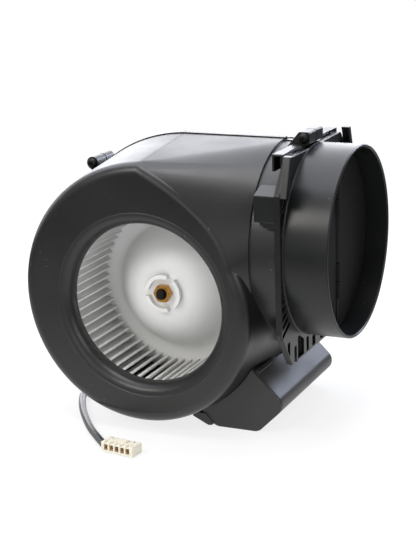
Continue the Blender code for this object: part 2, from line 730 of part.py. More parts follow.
def build_bracket(rear_shield, shield_face):
    """Three-armed sheet bracket that hangs the motor in the rear inlet on rubber dampers."""
    plate_low = shield_face + GAP
    plate_high = plate_low + BRACKET_SHEET
    foot_low = CASING_DEPTH + GAP + DAMPER_HEIGHT + GAP
    foot_high = foot_low + BRACKET_SHEET
    plate = tube_profile(BRACKET_BORE, BRACKET_RADIUS, plate_low, plate_high)
    bracket = turned("motor_bracket", plate, STEEL, steps=STEPS_MOTOR)
    for index, degrees in enumerate(ARM_ANGLES):
        tag = "_%d" % (index + 1)
        arm = add_tool("arm" + tag, prism("arm", bent_arm(plate_low, plate_high, foot_low, foot_high), "Z",
                                          -ARM_WIDTH / 2, ARM_WIDTH / 2))
        arm.rotation_euler.y = -math.radians(degrees)
        join(bracket, arm)
        x, z = polar(FOOT_RADIUS, degrees)
        hole = circle(x, z, SCREW_RADIUS + GAP, STEPS_SMALL)
        through = prism("foot_hole", hole, "Y", foot_low - EMBED, foot_high + EMBED)
        cut(bracket, add_tool("foot_hole" + tag, through))
        turned("damper" + tag, tube_profile(SCREW_RADIUS + GAP, DAMPER_RADIUS, CASING_DEPTH + GAP,
                                            CASING_DEPTH + GAP + DAMPER_HEIGHT), RUBBER, centre=(x, 0.0, z))
        head = foot_high + GAP + SCREW_HEAD_HEIGHT
        screw = screw_profile(head, DAMPER_SCREW_LENGTH, away=-1.0)
        turned("damper_screw" + tag, screw, STEEL, centre=(x, 0.0, z))
        bx, bz = polar(MOTOR_BOLT_STATION, degrees + 60.0)
        hole = circle(bx, bz, SCREW_RADIUS + GAP, STEPS_SMALL)
        through = prism("bolt_hole", hole, "Y", shield_face - 2 * SHIELD_WALL, plate_high + EMBED)
        tool = add_tool("bolt_hole" + tag, through)
        cut(bracket, tool)
        cut(rear_shield, tool)
        head = plate_high + GAP + SCREW_HEAD_HEIGHT
        bolt = screw_profile(head, MOTOR_BOLT_LENGTH, away=-1.0)
        turned("motor_bolt" + tag, bolt, STEEL, centre=(bx, 0.0, bz))


def flange_outline():
    """Seen from the outlet: (y, z) corners of the collar's mounting plate."""
    near = SEAM - FLANGE_HALF_WIDTH
    far = SEAM + FLANGE_HALF_WIDTH
    return [(near, FLANGE_UPPER_SHOULDER), (near, FLANGE_LOWER_SHOULDER),
            (near + FLANGE_LOWER_BEVEL, FLANGE_BOTTOM), (far - FLANGE_LOWER_BEVEL, FLANGE_BOTTOM),
            (far, FLANGE_LOWER_SHOULDER), (far, FLANGE_UPPER_SHOULDER),
            (far - FLANGE_UPPER_BEVEL, FLANGE_TOP), (near + FLANGE_UPPER_BEVEL, FLANGE_TOP)]


def flange_pockets(face):
    """Moulded pockets between the ribs of the plate, on the outlet side."""
    floor = face - POCKET_DEPTH
    pockets = []
    for side in (-1.0, 1.0):
        for index in range(SIDE_POCKETS):
            z = FLANGE_LOWER_SHOULDER + POCKET_PITCH * index
            edge = SEAM + side * (FLANGE_HALF_WIDTH - POCKET_MARGIN)
            spread = math.sqrt((COLLAR_RADIUS + COLLAR_ROOT) ** 2 - (OUTLET_HEIGHT - z) ** 2)
            inner = SEAM + side * (spread + POCKET_MARGIN)
            rise = abs(edge - inner) * math.tan(math.radians(SIDE_POCKET_TILT))
            low = z - POCKET_WIDTH / 2
            high = z + POCKET_WIDTH / 2
            corners = [(edge, low), (inner, low + rise), (inner, high + rise), (edge, high)]
            pockets.append(prism("side_pocket", corners, "X", floor, face + EMBED))
    return pockets


def build_collar():
    base = NECK_END + GAP
    face = base + FLANGE_THICKNESS
    rim = face + COLLAR_LENGTH
    inner = COLLAR_RADIUS - COLLAR_WALL
    plate = prism("outlet_collar", flange_outline(), "X", base, face)
    collar = add_piece("outlet_collar", plate, BLACK_PLASTIC)
    centre = OUTLET_CENTRE
    root = COLLAR_RADIUS + COLLAR_ROOT
    profile = [(0.0, rim), (COLLAR_RADIUS, rim), (COLLAR_RADIUS, face + EMBED), (root, face + GAP),
               (root, base + EMBED), (0.0, base + EMBED)]
    join(collar, turned_tool("collar_ring", profile, "X", centre, STEPS_LARGE))
    bore = rod_profile(inner, base - EMBED, rim + EMBED)
    cut(collar, turned_tool("collar_bore", bore, "X", centre, STEPS_LARGE))
    for index, mesh in enumerate(flange_pockets(face)):
        cut(collar, add_tool("pocket_%d" % index, mesh))
    for side, tag in ((-1.0, "front"), (1.0, "rear")):
        middle = SEAM + side * SLOT_OFFSET
        slot = rectangle(middle - SLOT_WIDTH / 2, middle + SLOT_WIDTH / 2, FLANGE_BOTTOM - EMBED,
                         FLANGE_BOTTOM + SLOT_HEIGHT)
        cut(collar, add_tool("slot_" + tag, prism("slot", slot, "X", base - EMBED, face + EMBED)))
        edge = SEAM + side * (FLANGE_HALF_WIDTH - GAP)
        block = sorted((edge, edge - side * CLIP_DEPTH))
        clip = rectangle(*block, CLIP_LOW, CLIP_LOW + CLIP_HEIGHT)
        join(collar, add_tool("clip_" + tag, prism("clip", clip, "X", base - CLIP_LENGTH, base + EMBED / 2)))
        edge = SEAM + side * HOOD_OFFSET
        span = sorted((edge, edge + side * HOOD_WIDTH))
        hood = rectangle(*span, HOOD_LOW, HOOD_LOW + HOOD_HEIGHT)
        join(collar, add_tool("hood_" + tag, prism("hood", hood, "X", base - HOOD_LENGTH, base + EMBED / 2)))
        inside = sorted((edge + side * HOOD_WALL, edge + side * (HOOD_WIDTH + EMBED)))
        mouth = rectangle(*inside, HOOD_LOW - EMBED, HOOD_LOW + HOOD_HEIGHT - HOOD_WALL)
        pocket = prism("hood_room", mouth, "X", base - HOOD_LENGTH + HOOD_WALL, base - HOOD_WALL)
        cut(collar, add_tool("hood_room_" + tag, pocket))
        cover = sorted((SEAM + side * ROOF_OFFSET, edge + side * HOOD_WALL / 2))
        top = HOOD_LOW + HOOD_HEIGHT - GAP / 3
        roof = rectangle(*cover, top - ROOF_THICKNESS, top)
        slab = prism("roof", roof, "X", base - HOOD_LENGTH + GAP, base - GAP)
        join(collar, add_tool("roof_" + tag, slab))


def build_flap(name, side, stations):
    """Half-round flap with two knuckles on the spindle; its hinge line is the spindle's."""
    hinge = bpy.data.objects.new(name + "_hinge", None)
    PARTS.objects.link(hinge)
    hinge.parent = UNIT
    hinge.location = (FLAP_X, SEAM, OUTLET_HEIGHT)
    knuckle_bore = SPINDLE_RADIUS + GAP
    knuckle = knuckle_bore + KNUCKLE_WALL
    start = knuckle + GAP
    radius = COLLAR_RADIUS - COLLAR_WALL - FLAP_EDGE_CLEARANCE
    reach = math.acos(start / radius)
    outline = []
    for step in range(STEPS_FLAP + 1):
        angle = -reach + 2 * reach * step / STEPS_FLAP
        outline.append((side * radius * math.cos(angle), radius * math.sin(angle)))
    half = FLAP_THICKNESS / 2
    flap = add_piece(name, prism(name, outline, "X", -half, half), BLACK_PLASTIC, hinge)
    for index, middle in enumerate(stations):
        low = middle - KNUCKLE_LENGTH / 2
        high = middle + KNUCKLE_LENGTH / 2
        tag = "%s_%d" % (name, index)
        tab = rectangle(*sorted((0.0, side * (start + FLAP_TAB))), low, high)
        sleeve = turned_tool("knuckle_" + tag, rod_profile(knuckle, low, high), "Z", hinge.location)
        bore = turned_tool("knuckle_bore_" + tag, rod_profile(knuckle_bore, low - EMBED, high + EMBED), "Z",
                           hinge.location)
        web = add_tool("tab_" + tag, prism("tab", tab, "X", -half + GAP / 3, half - GAP / 3))
        web.location = hinge.location
        join(flap, web)
        join(flap, sleeve)
        cut(flap, bore)


def build_flaps():
    reach = COLLAR_RADIUS - COLLAR_WALL - GAP
    spindle = rod_profile(SPINDLE_RADIUS, -reach, reach)
    turned("flap_spindle", spindle, STEEL, "Z", (FLAP_X, SEAM, OUTLET_HEIGHT))
    outer = KNUCKLE_STATION
    inner = outer - KNUCKLE_LENGTH - 2 * GAP
    build_flap("flap_front", -1.0, (outer, -inner))
    build_flap("flap_rear", 1.0, (inner, -outer))


def box_outline(inset):
    """Electrics box seen from the front: two 45 degree sides and a level base."""
    shift = inset * math.sqrt(2.0)
    corner_x = BOX_CORNER_X - shift
    base = SCROLL_LOWEST + inset
    drop = BOX_CORNER_Z - base
    left = BOX_LEFT_X + inset
    top = (corner_x - BOX_UPPER_EDGE, BOX_CORNER_Z + BOX_UPPER_EDGE)
    corners = [top, (corner_x, BOX_CORNER_Z), (corner_x - drop, base), (left + drop / 2, base),
               (left, base + drop / 2)]
    return round_corners(corners, (1, 2, 3), BOX_ROUND - inset)


def round_corners(corners, chosen, radius):
    """Replace chosen corners by tangent arcs."""
    outline = []
    for index, corner in enumerate(corners):
        if index not in chosen:
            outline.append(corner)
            continue
        here = Vector(corner)
        before = (Vector(corners[index - 1]) - here).normalized()
        after = (Vector(corners[(index + 1) % len(corners)]) - here).normalized()
        half = before.angle(after) / 2
        centre = here + (before + after).normalized() * (radius / math.sin(half))
        first = here + before * (radius / math.tan(half)) - centre
        last = here + after * (radius / math.tan(half)) - centre
        for step in range(STEPS_CORNER + 1):
            arm = first.lerp(last, step / STEPS_CORNER).normalized() * radius
            outline.append((centre.x + arm.x, centre.y + arm.y))
    return outline


def scroll_keepout(name, clearance):
    """Both halves of the scroll, grown by a clearance."""
    past = SEAM + EMBED
    front = scroll_body(name + "_front", -clearance, past, FILLET_STEPS, False)
    rear = scroll_body(name + "_rear", -clearance, past, FILLET_STEPS, True)
    return add_tool(name + "_front", front), add_tool(name + "_rear", rear)


def build_box():
    body_front = BOX_FRONT + COVER_THICKNESS + GAP
    keepout = scroll_keepout("box_keepout", BOX_SCROLL_GAP)
    shell = prism("box_housing", box_outline(0.0), "Y", body_front, BOX_REAR)
    housing = add_piece("box_housing", shell, BLACK_PLASTIC)
    inside = prism("box_room", box_outline(BOX_WALL), "Y", BOX_FRONT - EMBED, BOX_REAR - BOX_WALL)
    room = add_tool("box_room", inside)
    for half in scroll_keepout("room_keepout", BOX_SCROLL_GAP + BOX_WALL):
        cut(room, half)
    plate = prism("box_cover", box_outline(0.0), "Y", BOX_FRONT, BOX_FRONT + COVER_THICKNESS)
    cover = add_piece("box_cover", plate, BLACK_PLASTIC)
    for half in keepout:
        cut(housing, half)
        cut(cover, half)
    cut(housing, room)
    inward = (BOX_WALL + GAP + CAPACITOR_RADIUS) * math.sqrt(2.0)
    turned("capacitor", rod_profile(CAPACITOR_RADIUS, CAPACITOR_START, CAPACITOR_START + CAPACITOR_LENGTH),
           IVORY, centre=(BOX_CORNER_X - inward, 0.0, BOX_CORNER_Z))
    floor = SCROLL_LOWEST + BOX_WALL + GAP
    board = rectangle(BOARD_LEFT, BOARD_LEFT + BOARD_WIDTH, floor, floor + BOARD_THICKNESS)
    add_piece("terminal_board", prism("terminal_board", board, "Y", BOARD_START, BOARD_START + BOARD_LENGTH),
              BOARD_GREEN)


def gland_seat():
    """Point on the rear wall and the outward direction of the lead's gland."""
    wall = scroll_radius(GLAND_ANGLE) + draft_at(CASING_DEPTH - GLAND_STATION)
    x, z = polar(wall, GLAND_ANGLE)
    dx, dz = polar(1.0, GLAND_ANGLE)
    return Vector((x, GLAND_STATION, z)), Vector((dx, 0.0, dz))


def lay_on_gland_axis(obj):
    seat, outward = gland_seat()
    obj.location = seat
    obj.rotation_mode = "QUATERNION"
    obj.rotation_quaternion = Vector((0, 0, 1)).rotation_difference(outward)


def smooth_route(points, step):
    """Points of a smooth curve through the route, about one step apart."""
    guides = [points[0] * 2 - points[1]] + points + [points[-1] * 2 - points[-2]]
    route = [points[0]]
    for index in range(1, len(guides) - 2):
        a, b, c, d = guides[index - 1:index + 3]
        pieces = max(1, round((c - b).length / step))
        for piece in range(1, pieces + 1):
            t = piece / pieces
            route.append(0.5 * (2 * b + (c - a) * t + (2 * a - 5 * b + 4 * c - d) * t * t
                                + (3 * b - a - 3 * c + d) * t ** 3))
    return route


def build_lead():
    """Gland, the lead that leaves it and lies on the floor, and the connector at its end."""
    slope = SCROLL_DRAFT / (SEAM - FACE_FILLET)
    lean = GAP + slope * GLAND_FLANGE_RADIUS
    nose = lean + GLAND_FLANGE + GLAND_NOSE
    profile = [(0.0, nose), (CABLE_RADIUS + GLAND_NOSE_WALL, nose), (GLAND_RADIUS, lean + GLAND_FLANGE),
               (GLAND_FLANGE_RADIUS, lean + GLAND_FLANGE), (GLAND_FLANGE_RADIUS, lean), (GLAND_RADIUS, lean),
               (GLAND_RADIUS, -GLAND_INSIDE), (0.0, -GLAND_INSIDE)]
    gland = turned("cable_gland", profile, RUBBER)
    lay_on_gland_axis(gland)
    seat, outward = gland_seat()
    start = seat + outward * (nose + GAP)
    lie = SCROLL_LOWEST + CABLE_RADIUS + GAP
    ahead = Vector((*polar(1.0, CONNECTOR_TURN), 0.0))
    middle = Vector((CONNECTOR_X, CONNECTOR_Y, SCROLL_LOWEST + GAP + CONNECTOR_HEIGHT / 2))
    end = middle - ahead * (CONNECTOR_LENGTH / 2 + LEAD_END_GAP)
    end.z = lie
    points = [start, start + outward * LEAD_STRAIGHT]
    points += [Vector(point) * MM for point in LEAD_DROP]
    points += [Vector((x * MM, y * MM, lie)) for x, y in LEAD_FLOOR] + [end]
    curve = bpy.data.curves.new("supply_cable", "CURVE")
    curve.dimensions = "3D"
    curve.bevel_depth = CABLE_RADIUS
    curve.bevel_resolution = 2
    curve.use_fill_caps = True
    route = smooth_route(points, CABLE_STEP)
    spline = curve.splines.new("POLY")
    spline.points.add(len(route) - 1)
    for knot, point in zip(spline.points, route):
        knot.co = (*point, 1.0)
    add_cord = bpy.data.objects.new("supply_cable", curve)
    PARTS.objects.link(add_cord)
    add_cord.parent = UNIT
    curve.materials.append(finish("supply_cable", *BLACK_PLASTIC))
    build_connector(middle)


def build_connector(middle):
    """Multi-pole plug-on block with a brass contact in each pole."""
    half = CONNECTOR_LENGTH / 2
    high = CONNECTOR_HEIGHT / 2
    deep = CONNECTOR_DEPTH / 2
    turn = math.radians(CONNECTOR_TURN)
    shape = prism("connector_body", rectangle(-half, half, -deep, deep), "Z", -high, high)
    block = add_piece("connector_body", shape, IVORY)
    block.location = middle
    block.rotation_euler.z = turn
    for pole in range(POLES):
        x = (pole - (POLES - 1) / 2) * POLE_PITCH
        wide = CONTACT_WIDTH / 2
        tall = CONTACT_HEIGHT / 2
        room = rectangle(x - wide - GAP, x + wide + GAP, -tall - GAP, tall + GAP)
        hole = prism("pole", room, "Y", -deep - EMBED, -deep + CONTACT_LENGTH + GAP)
        pocket = add_tool("pole_%d" % pole, hole)
        metal = rectangle(x - wide, x + wide, -tall, tall)
        strip = prism("contact", metal, "Y", -deep, -deep + CONTACT_LENGTH)
        contact = add_piece("contact_%d" % (pole + 1), strip, BRASS)
        for obj in (pocket, contact):
            obj.location = middle
            obj.rotation_euler.z = turn
        cut(block, pocket)


def stand_on_origin():
    """Move the whole unit so that the middle of its base is the origin; the lead is left out."""
    lead = {"supply_cable", "connector_body"} | {"contact_%d" % (pole + 1) for pole in range(POLES)}
    bpy.context.view_layer.update()
    graph = bpy.context.evaluated_depsgraph_get()
    corners = []
    for piece in PARTS.objects:
        if piece.type == "MESH" and piece.name not in lead:
            shape = piece.evaluated_get(graph)
            corners += [shape.matrix_world @ vertex.co for vertex in shape.data.vertices]
    low = Vector([min(corner[axis] for corner in corners) for axis in range(3)])
    high = Vector([max(corner[axis] for corner in corners) for axis in range(3)])
    UNIT.location = (-(low.x + high.x) / 2, -(low.y + high.y) / 2, -low.z)
    bpy.context.view_layer.update()
    print("unit offset mm", [round(value / MM, 3) for value in UNIT.location])
    print("box mm", [round((b - a) / MM, 2) for a, b in zip(low, high)])


def main():
    build_casing()
    build_wheel()
    build_motor()
    build_collar()
    build_flaps()
    build_box()
    build_lead()
    stand_on_origin()


main()
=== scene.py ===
# %% [markdown]
# # Blower unit of a cooker hood
# The real unit is a black moulded scroll casing with a white bladed wheel inside, a round outlet collar, a
# box for the electrics and a short lead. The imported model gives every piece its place. This script gives
# each piece the fine shape and the finish that the eye sees. All modelling below is done in millimetres
# about the middle of the front inlet, and one matrix takes each finished mesh to its place in the room.

# %% Load the frame
import json
import math

import bmesh
import bpy
from mathutils import Matrix, Vector


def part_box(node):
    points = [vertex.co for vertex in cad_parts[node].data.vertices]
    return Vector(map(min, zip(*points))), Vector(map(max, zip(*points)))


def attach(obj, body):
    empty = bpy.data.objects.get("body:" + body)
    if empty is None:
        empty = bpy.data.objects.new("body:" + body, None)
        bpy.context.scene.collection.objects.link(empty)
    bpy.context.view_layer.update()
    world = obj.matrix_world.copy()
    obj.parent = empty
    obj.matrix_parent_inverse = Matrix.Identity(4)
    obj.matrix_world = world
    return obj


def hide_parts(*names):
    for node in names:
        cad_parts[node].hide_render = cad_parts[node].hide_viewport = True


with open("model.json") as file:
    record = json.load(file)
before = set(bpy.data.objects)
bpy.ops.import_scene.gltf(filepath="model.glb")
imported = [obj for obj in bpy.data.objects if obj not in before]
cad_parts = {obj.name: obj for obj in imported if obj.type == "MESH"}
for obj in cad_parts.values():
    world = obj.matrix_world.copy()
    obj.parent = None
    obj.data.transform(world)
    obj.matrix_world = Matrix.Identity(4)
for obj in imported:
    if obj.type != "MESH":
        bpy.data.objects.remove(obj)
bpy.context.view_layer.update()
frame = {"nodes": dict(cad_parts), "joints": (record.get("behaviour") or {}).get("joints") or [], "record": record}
JOINTS = {joint["name"]: joint for joint in frame["joints"]}
WHEEL_AXIS = Vector(JOINTS["wheel_spin"]["pos_m"])
MM = 0.001
FAN_CENTRE = Vector((WHEEL_AXIS.x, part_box("front_casing")[0][1], WHEEL_AXIS.z))
TO_ROOM = Matrix.Translation(FAN_CENTRE) @ Matrix.Scale(MM, 4)
SCENE = bpy.context.scene
SCENE.view_settings.view_transform = "Standard"
print("fan centre in the room, mm", [round(value / MM, 2) for value in FAN_CENTRE])

# %% [markdown]
# ## Camera
# The camera stands where the photographer stood, in front of the unit, to the right and a little above. Its
# place and its lens come from fitting circles of known size, the inlet and the collar, to the photo.

# %% Camera
EYE = Vector((492.98, -958.04, 325.02))
LOOK_RIGHT = Vector((0.91302, 0.40695, -0.02822))
LOOK_UP = Vector((-0.08568, 0.25894, 0.96209))
FOCAL_PIXELS = 1467.4
PHOTO_HEIGHT = 555
SENSOR = 36.0


def add_object(name, data):
    made = bpy.data.objects.new(name, data)
    SCENE.collection.objects.link(made)
    return made


def facing(place, right, up):
    """Matrix of something that stands at a place and looks along its own -Z."""
    turn = Matrix((right, up, right.cross(up))).transposed().to_4x4()
    return Matrix.Translation(place) @ turn


lens = bpy.data.cameras.new("photo_camera")
lens.sensor_width = SENSOR
lens.lens = SENSOR * FOCAL_PIXELS / PHOTO_HEIGHT
lens.clip_start = 0.01
camera = add_object("photo_camera", lens)
camera.matrix_world = facing(TO_ROOM @ EYE, LOOK_RIGHT, LOOK_UP)
SCENE.camera = camera
print("lens mm", round(lens.lens, 2))

# %% [markdown]
# ## Nodes and colours
# One small function adds a shader node or a geometry node, sets its options and joins its inputs. Colours
# are written as sRGB hex values, as a colour picker shows them, and turned to the linear values that light
# works with. Four helpers shorten what most finishes need: a ramp, a sum, a blend of two colours and a
# noise of a real size.


# %% Nodes and colours
def add_node(tree, kind, inputs=None, **settings):
    node = tree.nodes.new(kind)
    for name, value in settings.items():
        setattr(node, name, value)
    for name, value in (inputs or {}).items():
        if isinstance(value, bpy.types.NodeSocket):
            tree.links.new(value, node.inputs[name])
        else:
            node.inputs[name].default_value = value
    return node


def colour(code):
    values = [int(code[start:start + 2], 16) / 255 for start in (1, 3, 5)]
    linear = [v / 12.92 if v <= 0.04045 else ((v + 0.055) / 1.055) ** 2.4 for v in values]
    return (*linear, 1.0)


def per_metre(size_mm):
    """Scale of a pattern whose features are this big."""
    return 1.0 / (size_mm * MM)


def ramp(tree, value, low, high, start=0.0, end=1.0):
    """Takes a value from one range to another and holds it at the ends."""
    limits = {"From Min": low, "From Max": high, "To Min": start, "To Max": end}
    return add_node(tree, "ShaderNodeMapRange", {"Value": value, **limits}).outputs[0]


def maths(tree, operation, *values):
    return add_node(tree, "ShaderNodeMath", dict(enumerate(values)), operation=operation).outputs[0]


def blend(tree, share, one, two):
    return add_node(tree, "ShaderNodeMix", {0: share, 6: one, 7: two}, data_type="RGBA").outputs[2]


def noise(tree, place, size_mm, detail):
    size = per_metre(size_mm)
    return add_node(tree, "ShaderNodeTexNoise", {"Vector": place, "Scale": size, "Detail": detail}).outputs[0]


# %% [markdown]
# ## Floor and light
# The unit stands on a plain white sheet. Soft boxes light it: one in front with a weak fill below it for
# the white wheel, a small one overhead for the bright band along the duct, one at each side, a wide one
# above, and two low ones behind that the top of the casing and the box's side mirror as pale bands. The
# sheet shows nearly white to the camera and still takes the unit's shadow, which fades out with distance.
# In mirror images the sheet glows white near the unit and grey far off, a painted reflection that
# makes the casing's face lighter at its foot than at its top.

# %% Floor
FLOOR_SIZE = 9.0
FLOOR_DROP = 0.0003
FLOOR_GLOW = 0.8
FLOOR_MIRROR = 0.95
# Distances in metres over which the painted reflection of the sheet fades from white to grey.
PAINTED_REFLECTION_REACH = (0.2, 0.65)
SHADOW_REACH = (0.35, 1.1)
floor_mesh = bmesh.new()
bmesh.ops.create_grid(floor_mesh, x_segments=1, y_segments=1, size=FLOOR_SIZE)
floor_data = bpy.data.meshes.new("floor")
floor_mesh.to_mesh(floor_data)
floor_mesh.free()
floor = add_object("floor", floor_data)
floor.location.z = -FLOOR_DROP
paper = bpy.data.materials.new("white studio paper")
paper.use_nodes = True
sheet = paper.node_tree
sheet.nodes.clear()
ray = add_node(sheet, "ShaderNodeLightPath").outputs
on_sheet = add_node(sheet, "ShaderNodeTexCoord").outputs["Object"]
away = add_node(sheet, "ShaderNodeVectorMath", {0: on_sheet}, operation="LENGTH").outputs["Value"]
seen = maths(sheet, "MULTIPLY", ray["Is Camera Ray"], ramp(sheet, away, *SHADOW_REACH, FLOOR_GLOW))
share = maths(sheet, "MULTIPLY_ADD", ray["Is Glossy Ray"], FLOOR_MIRROR, seen)
# Painted reflection: to glossy rays the sheet glows white near the unit and grey far off.
painted_reflection_fade = maths(sheet, "MULTIPLY", ray["Is Glossy Ray"], ramp(sheet, away, *PAINTED_REFLECTION_REACH))
tint = blend(sheet, painted_reflection_fade, colour("#ffffff"), colour("#484848"))
matt = add_node(sheet, "ShaderNodeBsdfDiffuse", {"Color": colour("#f4f4f4")}).outputs[0]
glow = add_node(sheet, "ShaderNodeEmission", {"Color": tint, "Strength": 1.0}).outputs[0]
mixed = add_node(sheet, "ShaderNodeMixShader", {0: share, 1: matt, 2: glow}).outputs[0]
add_node(sheet, "ShaderNodeOutputMaterial", {"Surface": mixed})
floor.data.materials.append(paper)
print("floor", floor.name, "with", paper.name)

# %% Sky
WORLD_LIGHT = 0.36
world = bpy.data.worlds.new("studio")
world.use_nodes = True
sky = world.node_tree.nodes["Background"]
sky.inputs["Color"].default_value = colour("#ffffff")
straight = add_node(world.node_tree, "ShaderNodeLightPath").outputs["Is Camera Ray"]
strength = maths(world.node_tree, "MULTIPLY_ADD", straight, 1.0 - WORLD_LIGHT, WORLD_LIGHT)
world.node_tree.links.new(strength, sky.inputs["Strength"])
SCENE.world = world
print("sky", world.name)

# %% Soft boxes
# Name, place, height of the point it faces, width, height, watts and tint.
SOFT_BOXES = (
    ("front_box", (-0.6, -1.3, 1.15), 0.11, 0.9, 0.5, 10.0, "#fffdf8"),
    ("fill_box", (0.2, -1.6, 0.35), 0.11, 1.0, 0.5, 2.0, "#ffffff"),
    ("key_box", (0.22, -0.38, 1.75), 0.11, 0.5, 0.5, 6.0, "#ffffff"),
    ("right_box", (1.5, -0.75, 0.95), 0.11, 0.5, 1.0, 5.0, "#ffffff"),
    ("top_box", (-0.5, 0.35, 1.7), 0.1, 2.0, 2.2, 40.0, "#f4f6ff"),
    ("back_box", (-0.85, 1.75, 0.75), 0.2, 2.2, 1.3, 36.0, "#f8f9ff"),
    ("back_right_box", (0.75, 1.7, 0.95), 0.11, 0.7, 0.6, 15.0, "#dfe8ff"),
    ("left_box", (-1.7, 0.35, 0.6), 0.11, 0.8, 1.0, 4.0, "#f8f9ff"),
)
for name, place, aim, width, height, watts, tint in SOFT_BOXES:
    data = bpy.data.lights.new(name, "AREA")
    data.color = colour(tint)[:3]
    data.shape = "RECTANGLE"
    data.size = width
    data.size_y = height
    data.energy = watts
    lamp = add_object(name, data)
    lamp.visible_camera = False
    lamp.location = place
    lamp.rotation_euler = (Vector((0.0, 0.0, aim)) - Vector(place)).to_track_quat("-Z", "Y").to_euler()

# %% [markdown]
# ## Finishes
# Most of the unit is injection-moulded plastic: an even colour that drifts a little over some centimetres,
# a fine eroded grain from the mould, edges that are never quite sharp and so catch the light, and a few
# specks of dust. The shader rounds the edges, and compares the rounded normal with the true one to find
# where an edge is worn.

# %% Moulded plastics
TONE_PATCH = 38.0
SPECK_SPACING = 5.0
SPECK_REACH = (0.04, 0.075)
EDGE_AGREES = (0.985, 0.8)
NOISE_MIDDLE = (0.3, 0.7)


def new_finish(name, edge):
    """A material, its tree, the place on the piece, and the normal with edges rounded by some millimetres."""
    material = bpy.data.materials.new(name)
    material.use_nodes = True
    tree = material.node_tree
    place = add_node(tree, "ShaderNodeTexCoord").outputs["Object"]
    soft = add_node(tree, "ShaderNodeBevel", {"Radius": edge * MM}, samples=4).outputs[0]
    return material, tree, place, soft


def wire_up(tree, tone, gloss, height, depth, soft, fixed):
    """Joins colour, roughness and bump to the surface shader, and sets its fixed values."""
    bump = add_node(tree, "ShaderNodeBump", {"Height": height, "Distance": depth * MM, "Normal": soft})
    shader = tree.nodes["Principled BSDF"]
    for name, socket in (("Base Color", tone), ("Roughness", gloss), ("Normal", bump.outputs[0])):
        tree.links.new(socket, shader.inputs[name])
    for name, value in fixed.items():
        shader.inputs[name].default_value = value


def moulded_plastic(name, main, drift, roughness, grain=0.7, depth=0.012, edge=0.7, worn="#4a4a48", wear=0.35,
                    speck="#8c8b86", specks=0.12, level=0.5):
    """Sizes in millimetres; specks is the share of dust cells that hold a speck."""
    material, tree, place, soft = new_finish(name, edge)
    cloud = noise(tree, place, TONE_PATCH, 4.0)
    body = blend(tree, cloud, colour(main), colour(drift))
    true = add_node(tree, "ShaderNodeNewGeometry").outputs["Normal"]
    agree = add_node(tree, "ShaderNodeVectorMath", {0: soft, 1: true}, operation="DOT_PRODUCT")
    rubbed = blend(tree, ramp(tree, agree.outputs["Value"], *EDGE_AGREES, 0.0, wear), body, colour(worn))
    spacing = per_metre(SPECK_SPACING)
    cells = add_node(tree, "ShaderNodeTexVoronoi", {"Vector": place, "Scale": spacing}).outputs
    pick = add_node(tree, "ShaderNodeSeparateColor", {"Color": cells["Color"]}).outputs[0]
    chosen = maths(tree, "LESS_THAN", pick, specks)
    dust = maths(tree, "MULTIPLY", ramp(tree, cells["Distance"], *SPECK_REACH, 1.0, 0.0), chosen)
    dusty = blend(tree, dust, rubbed, colour(speck))
    gloss = ramp(tree, cloud, *NOISE_MIDDLE, roughness - 0.05, roughness + 0.05)
    pits = noise(tree, place, grain, 2.0)
    wire_up(tree, dusty, gloss, pits, depth, soft, {"IOR": 1.49, "Specular IOR Level": level})
    return material


# Filled polypropylene from an eroded mould: dull black, greyish where it is rubbed.
CASING_BLACK = moulded_plastic("moulded black polypropylene", "#161616", "#1b1b1b", 0.36, level=0.62)
# Polished part of the mould: the collar's skin is smoother and a little bluish.
COLLAR_BLACK = moulded_plastic("moulded black ABS", "#0f1011", "#151617", 0.34, depth=0.006, specks=0.05,
                               level=0.45)
# The flaps are moulded matt. Their black, and the black of their edges, is darker than the casing's:
# painted shade for their place deep in the collar.
FLAP_SHADED_BLACK = moulded_plastic("matt moulded black polypropylene", "#131313", "#171716", 0.7, specks=0.03,
                             level=0.16, worn="#1c1c1c")
# The electrics box is the same plastic, painted a lighter grey that stands for the light falling on it.
BOX_LIT_BLACK = moulded_plastic("moulded charcoal polypropylene", "#262626", "#2c2c2b", 0.42, level=0.55)
# Unpainted polypropylene, a near-neutral off-white.
WHEEL_WHITE = moulded_plastic("moulded white polypropylene", "#e9e9e7", "#e2e2e0", 0.42, worn="#f2f2f0",
                              speck="#b9b8b4", specks=0.03, edge=0.3)
# Nylon connectors are cream coloured, with a soft sheen.
NYLON = moulded_plastic("moulded ivory nylon", "#ece7d8", "#e2dccb", 0.40, worn="#f4f0e4", speck="#b3ab98",
                        specks=0.05, edge=0.25)
BOARD = moulded_plastic("coated circuit board", "#2c5a3a", "#24502f", 0.45, worn="#6f8f74", edge=0.2)
RUBBER = moulded_plastic("moulded rubber", "#161616", "#1c1c1b", 0.72, grain=0.5, depth=0.02, edge=0.4)
# Soft extruded sheath: the smoothest black on the unit, with a clear highlight along it.
SHEATH = moulded_plastic("extruded black sheath", "#121212", "#171716", 0.3, grain=4.0, depth=0.003, edge=0.1,
                         specks=0.02)

# %% [markdown]
# Metals show fine lines from turning or rolling. The lines are a noise that is stretched along one
# direction; they are drawn a little coarser than real ones, so that they still show in the picture.

# %% Metals
STAIN_PATCH = 9.0
LINE_DEPTH = 0.004


def drawn_metal(name, main, drift, roughness, line=0.5, stretch=14.0, edge=0.25):
    material, tree, place, soft = new_finish(name, edge)
    along = add_node(tree, "ShaderNodeMapping", {"Vector": place, "Scale": (1.0, 1.0 / stretch, 1.0)})
    lines = noise(tree, along.outputs[0], line, 3.0)
    tone = blend(tree, noise(tree, place, STAIN_PATCH, 3.0), colour(main), colour(drift))
    gloss = ramp(tree, lines, *NOISE_MIDDLE, roughness - 0.08, roughness + 0.08)
    wire_up(tree, tone, gloss, lines, LINE_DEPTH, soft, {"Metallic": 1.0})
    return material


